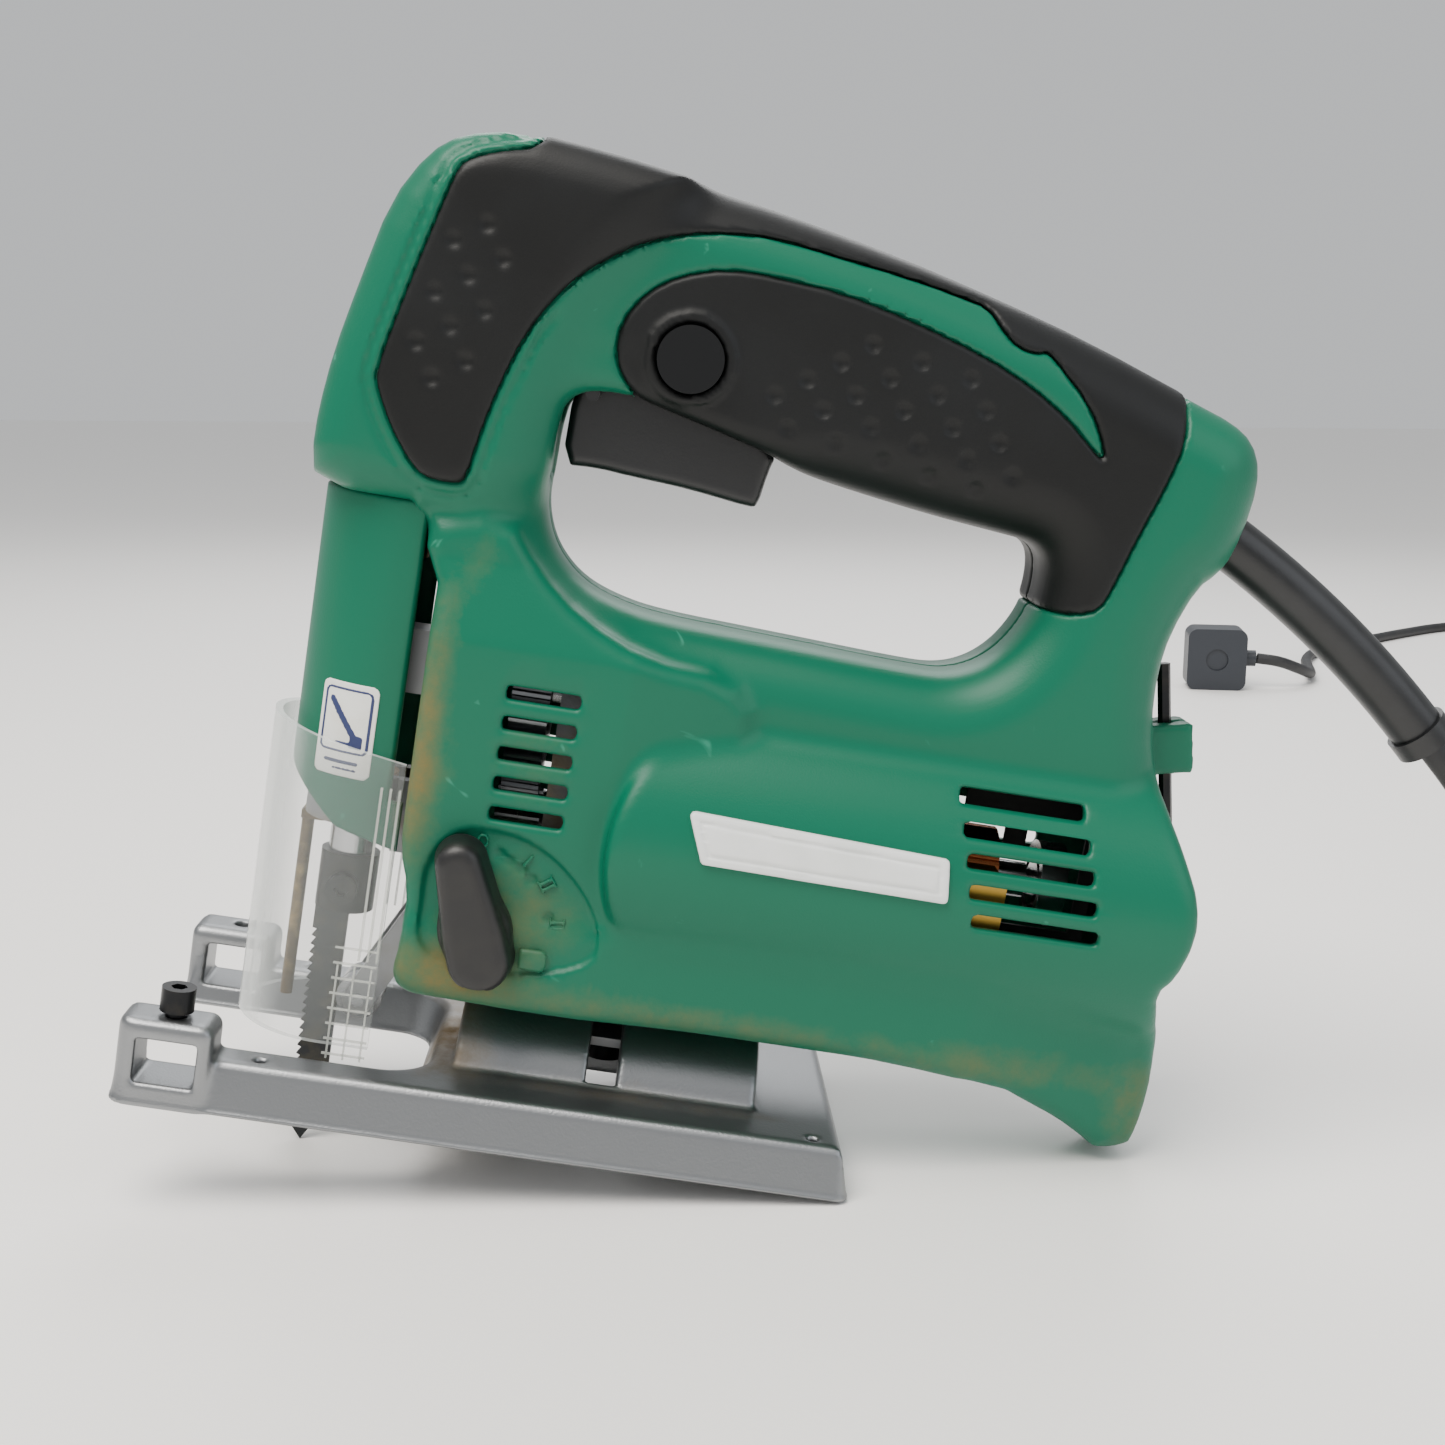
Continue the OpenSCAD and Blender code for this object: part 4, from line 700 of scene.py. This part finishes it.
# ---- Trigger and lock button ----
# A moulded black trigger, hollow above, hinged at its front end; its curved face is what
# the finger pulls. The lock button beside it is glossy.
qx, qy, qz = np.arange(-85, -37, 0.5), np.arange(-10.6, 10.7, 0.5), np.arange(137, 163, 0.5)
Q2 = np.meshgrid(qx, qz, indexing="ij")
QY = qy[None, :, None]
trigger_line = outline([
    (-83.2, 158), (-83.5, 141.4), (-76, 141.8), (-68.6, 141.2), (-60, 140.8), (-53.4, 140.2),
    (-43, 138.9), (-41.4, 139.4), (-40.3, 146.8), (-39.2, 150.6), (-44, 154.6), (-60, 158.2),
    (-74, 161), (-80, 161)], 1, Q2)[:, None, :]
trigger = rounded(trigger_line, np.abs(QY) - 9.7, 2)
trigger = np.maximum(trigger, -np.maximum(trigger_line + 2.2, np.maximum(
    np.abs(QY) - 7.5, (149 - qz)[None, None, :])))
abs_black = surface("black_abs", "#101113", 0.4, grain=(0.5, 0.02))
trigger, _ = moulded("trigger_lever", trigger, abs_black, (qx, qy, qz))
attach(trigger, "trigger")
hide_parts("trigger")
paint(bevelled(node["lock_button"], 1.2, 4), surface("polished_black_abs", "#050505", 0.08))
paint(node["switch_body"], abs_black)
paint(node["trigger_pin"], abs_black)


# ---- Clear dust cover ----
# Injection-moulded polycarbonate, open at the back. It is clear face on and brighter at its
# edges by painted reflection, with thin ribs on both sides and a scale of fine lines on the near side,
# drawn pale as painted highlight.
clear = surface("polycarbonate", "#dfe4e2", 0.1, ior=1.5)
clear.surface_render_method = "BLENDED"
tree = clear.node_tree
bsdf = next(n for n in tree.nodes if n.type == "BSDF_PRINCIPLED")
# painted reflection: the pale cover turns more opaque where its surface turns away from the view, so its
# edges look lit
rim = add(tree, "ShaderNodeLayerWeight", Blend=0.5)
edge = add(tree, "ShaderNodeMapRange", Value=rim.outputs["Facing"])
edge.inputs["From Min"].default_value = 0.25
edge.inputs["To Min"].default_value = 0.08
edge.inputs["To Max"].default_value = 0.8
tree.links.new(edge.outputs["Result"], bsdf.inputs["Alpha"])
paint(bevelled(node["dust_cover"], 0.4, 2), clear)
# painted highlight: the ribs and scale lines are real moulded features, drawn in a pale, half-opaque
# plastic so they read as lit lines on the clear cover
rib_highlight = surface("polycarbonate_rib_highlight", "#d9dcd4", 0.25, alpha=0.42)
rib_highlight.surface_render_method = "BLENDED"


def bars(name, start, pace, count, size, mat):
    """A row of equal bars by Geometry Nodes, in the tool's frame, in mm."""
    group = bpy.data.node_groups.new(name, "GeometryNodeTree")
    group.interface.new_socket("Geometry", in_out="OUTPUT", socket_type="NodeSocketGeometry")
    group.interface.new_socket("Count", in_out="INPUT", socket_type="NodeSocketInt")
    group.interface.new_socket("Start", in_out="INPUT", socket_type="NodeSocketVector")
    group.interface.new_socket("Pace", in_out="INPUT", socket_type="NodeSocketVector")
    group.interface.new_socket("Size", in_out="INPUT", socket_type="NodeSocketVector")
    source = group.nodes.new("NodeGroupInput").outputs
    line = add(group, "GeometryNodeMeshLine", Count=source["Count"],
               Start_Location=source["Start"], Offset=source["Pace"])
    cube = add(group, "GeometryNodeMeshCube", Size=source["Size"])
    copies = add(group, "GeometryNodeInstanceOnPoints", Points=line.outputs["Mesh"],
                 Instance=cube.outputs["Mesh"])
    real = add(group, "GeometryNodeRealizeInstances", Geometry=copies.outputs["Instances"])
    done = add(group, "GeometryNodeSetMaterial", Geometry=real.outputs["Geometry"], Material=mat)
    group.links.new(done.outputs["Geometry"], group.nodes.new("NodeGroupOutput").inputs[0])
    carrier = bpy.data.objects.new(name, bpy.data.meshes.new(name))
    bpy.context.scene.collection.objects.link(carrier)
    modifier = carrier.modifiers.new("bars", "NODES")
    modifier.node_group = group
    for item in group.interface.items_tree:
        if item.in_out == "INPUT":
            modifier[item.identifier] = {"Count": count, "Start": start, "Pace": pace,
                                         "Size": size}[item.name]
    bpy.context.view_layer.update()
    made = bpy.data.meshes.new_from_object(
        carrier.evaluated_get(bpy.context.evaluated_depsgraph_get()))
    carrier.modifiers.clear()
    points = to_row([v.co[:] for v in made.vertices])
    faces = [tuple(f.vertices) for f in made.polygons]
    bpy.data.objects.remove(carrier)
    obj = link_mesh(name, points, faces, mat)
    return obj


for name, start, pace, count, size in (
        ("cover_scale_rows", (-110.4, -21.5, 10.5), (0, 0, 3.4), 8, (9.2, 0.5, 0.4)),
        ("cover_scale_columns", (-114, -21.5, 20), (3.6, 0, 0), 3, (0.4, 0.5, 21)),
        ("cover_ribs_near", (-109.8, -21.5, 51), (1.9, 0, 0), 3, (0.5, 0.7, 38)),
        ("cover_ribs_far", (-109.8, 21.5, 51), (1.9, 0, 0), 3, (0.5, 0.7, 38))):
    row = bars(name, start, pace, count, size, rib_highlight)
    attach(row, "cover")


# ---- Base plate ----
# Die-cast aluminium tray with drafted walls, a thin lip round the sole, two fence lugs and
# the half-round saddle. Vibratory finished: satin grey, duller where it has worn.
sx, sy, sz = np.arange(-156, 1.4, 0.7), np.arange(-39.2, 39.3, 0.7), np.arange(-0.9, 26, 0.6)
SX, SY, SZ = sx[:, None, None], sy[None, :, None], sz[None, None, :]


def block(x0, x1, y0, y1, z0, z1, r=0.0):
    """Distance to a block that lies alike on both sides of the mid plane."""
    a = [np.abs(SX - (x0 + x1) / 2) - (x1 - x0) / 2 + r,
         np.abs(np.abs(SY) - (y0 + y1) / 2) - (y1 - y0) / 2 + r,
         np.abs(SZ - (z0 + z1) / 2) - (z1 - z0) / 2 + r]
    far = np.sqrt(sum(np.maximum(d, 0) ** 2 for d in a))
    return np.minimum(np.maximum(np.maximum(a[0], a[1]), a[2]), 0) + far - r


draft = np.clip(SZ - 1.6, -0.6, 20) * 0.28 + 0.5 * (SZ > 1.4)
plan = block(-155, 0, -38.5, 38.5, -50, 50, 3) + draft
slot_plan = block(-220, -95, -23, 23, -60, 60, 8) - draft
tray = cut(cut(plan, -slot_plan, 1), np.abs(SZ - 5.5) - 5.5, 1.8)
for x0, x1, y0, y1 in ((-129, -95, 27, 34), (-87, -11.5, 23, 34), (-18, -11.5, -19, 19)):
    tray = cut(tray, -block(x0, x1, y0, y1, -5, 7.5, 1), 0.6)
lugs = cut(block(-155, -135, 26, 38.5, -8, 18.5, 2.6), block(-155, -130, 20, 38.5, -20, 40, 5), 1)
base = merge(tray, cut(lugs, -SZ, 0.6), 1.6)
base = cut(base, -block(-150.5, -138, 15, 50, 5, 14.5, 0.6), 0.6)
saddle_x, saddle_z, saddle_r, saddle_wall = -54, 3, 22, 5
saddle = cut(np.hypot(SY, SZ - saddle_z) - saddle_r, np.abs(SX - saddle_x) - 33, 1.2)
base = merge(base, np.maximum(saddle, 8 - SZ), 1.5)
room = np.maximum(np.hypot(SY, np.maximum(SZ - saddle_z, 0)) - (saddle_r - saddle_wall),
                  np.abs(SX - saddle_x) - 29)
base = np.maximum(base, -room)
base = cut(base, -block(-58.3, -51.7, -19.8, 19.8, 10, 40), 0.4)
base = cut(base, -block(-71, -45, -3.3, 3.3, 10, 40), 0.4)
for x, y, r, low in ((-126, 31.5, 1.25, -5), (-9, 31.5, 1.25, -5), (-144, 32.5, 2.1, 13)):
    base = np.maximum(base, -np.maximum(np.hypot(SX - x, np.abs(SY) - y) - r, low - SZ))
cast_base, at = moulded("base_plate_cast", np.maximum(base, 0.05 - SZ), None, (sx, sy, sz))
x, y, z = at.T
stain = 0.9 * np.exp(-((x + 88) / 10) ** 2 - (y / 24) ** 2) + 0.55 * (z > 9) * np.exp(
    -((x + 50) / 45) ** 2 - ((np.abs(y) - 24) / 5) ** 2)
layer = cast_base.data.attributes.new("sawdust", "FLOAT", "POINT")
layer.data.foreach_set("value", np.clip(stain, 0, 1).astype(np.float32))
cast = dusty("die_cast_aluminium", "#8b8d8f", 0.4, (0.6, 0.05), "#7d6330", "#a5a7a8")
next(n for n in cast.node_tree.nodes if n.type == "BSDF_PRINCIPLED").inputs[
    "Metallic"].default_value = 1.0
paint(cast_base, cast)
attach(cast_base, "base")
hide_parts("base_plate")
paint(bevelled(node["gear_housing"], 0.5, 2), surface(
    "sand_cast_aluminium", "#8b8d8f", 0.5, 1.0, wear=(12, "#8a7650", 0.7), grain=(0.8, 0.08)))
black_oxide = surface("black_oxide_steel", "#1f2022", 0.35, 0.8, wear=(4, "#3a3630", 0.5))
for name in ("base_clamp_bolt", "fence_screw", "hex_key", "blade_holder", "blade_screw"):
    paint(bevelled(node[name], 0.25, 2), black_oxide)


# ---- Blade, plunger, roller and guard rod ----
# Ground and hardened steel in the plunger and roller; a painted carbon-steel blade; a bent
# steel rod before the blade that keeps fingers off.
ground = surface("ground_steel", "#b4b5b7", 0.22, 1.0, wear=(8, "#8f8674", 0.4))
for name in ("plunger_rod", "guide_roller", "roller_pin", "roller_arm_pin", "crank_pin",
             "gear_spindle", "armature_shaft", "bearing_inner_rings", "bearing_outer_rings",
             "bearing_balls", "orbital_cam_shaft", "brush_springs"):
    node[name].data.shade_smooth()
    paint(bevelled(node[name], 0.15, 2), ground)
paint(node["jigsaw_blade"], surface("painted_carbon_steel", "#26282a", 0.4, 0.6,
                                    wear=(5, "#56503f", 0.6)))
paint(node["finger_guard"], surface("stained_steel_wire", "#5c4c33", 0.5, 0.7,
                                    wear=(4, "#a08a58", 0.8)))
pressed = surface("pressed_steel", "#8c8e90", 0.38, 1.0, wear=(9, "#7c7568", 0.5))
for name in ("roller_arm", "yoke", "base_clamp_plate", "clamp_screws", "housing_screws"):
    paint(bevelled(node[name], 0.25, 2), pressed)


# ---- Gears and motor ----
# Seen through the vents: steel crank gear, sintered bronze bushes, a laminated core with
# enamelled copper, brass brush holders and graphite brushes.
cut_steel = surface("machined_steel", "#77797c", 0.32, 1.0, grain=(0.4, 0.02))
bronze = surface("sintered_bronze", "#9a7440", 0.5, 1.0, grain=(0.4, 0.04))
enamel = surface("enamelled_copper", "#8a3f17", 0.3, 0.85, grain=(0.7, 0.25))
laminated = surface("laminated_iron", "#46484b", 0.45, 0.9, grain=(0.5, 0.03))
for names, mat in (
        (("crank_gear",), cut_steel),
        (("upper_bush", "lower_bush", "spindle_bush"), bronze),
        (("armature_windings", "stator_coils"), enamel),
        (("armature_core", "stator_core"), laminated),
        (("commutator",), surface("copper_bars", "#a4603a", 0.25, 1.0)),
        (("brush_holders",), surface("stamped_brass", "#a8883f", 0.35, 1.0)),
        (("carbon_brushes",), surface("graphite", "#18181a", 0.6)),
        (("cooling_fan", "cord_clamp"), surface("grey_nylon", "#2a2b2d", 0.5, grain=(0.5, 0.03)))):
    for name in names:
        paint(node[name], mat)


# ---- Strain relief ----
# A moulded rubber sleeve that keeps the cord from kinking, with a collar at its tip.
paint(node["cord_guard"], surface("moulded_rubber", "#0f1011", 0.33, wear=(14, "#26282a", 0.5),
                                  grain=(0.6, 0.03)))
node["cord_guard"].data.shade_smooth()
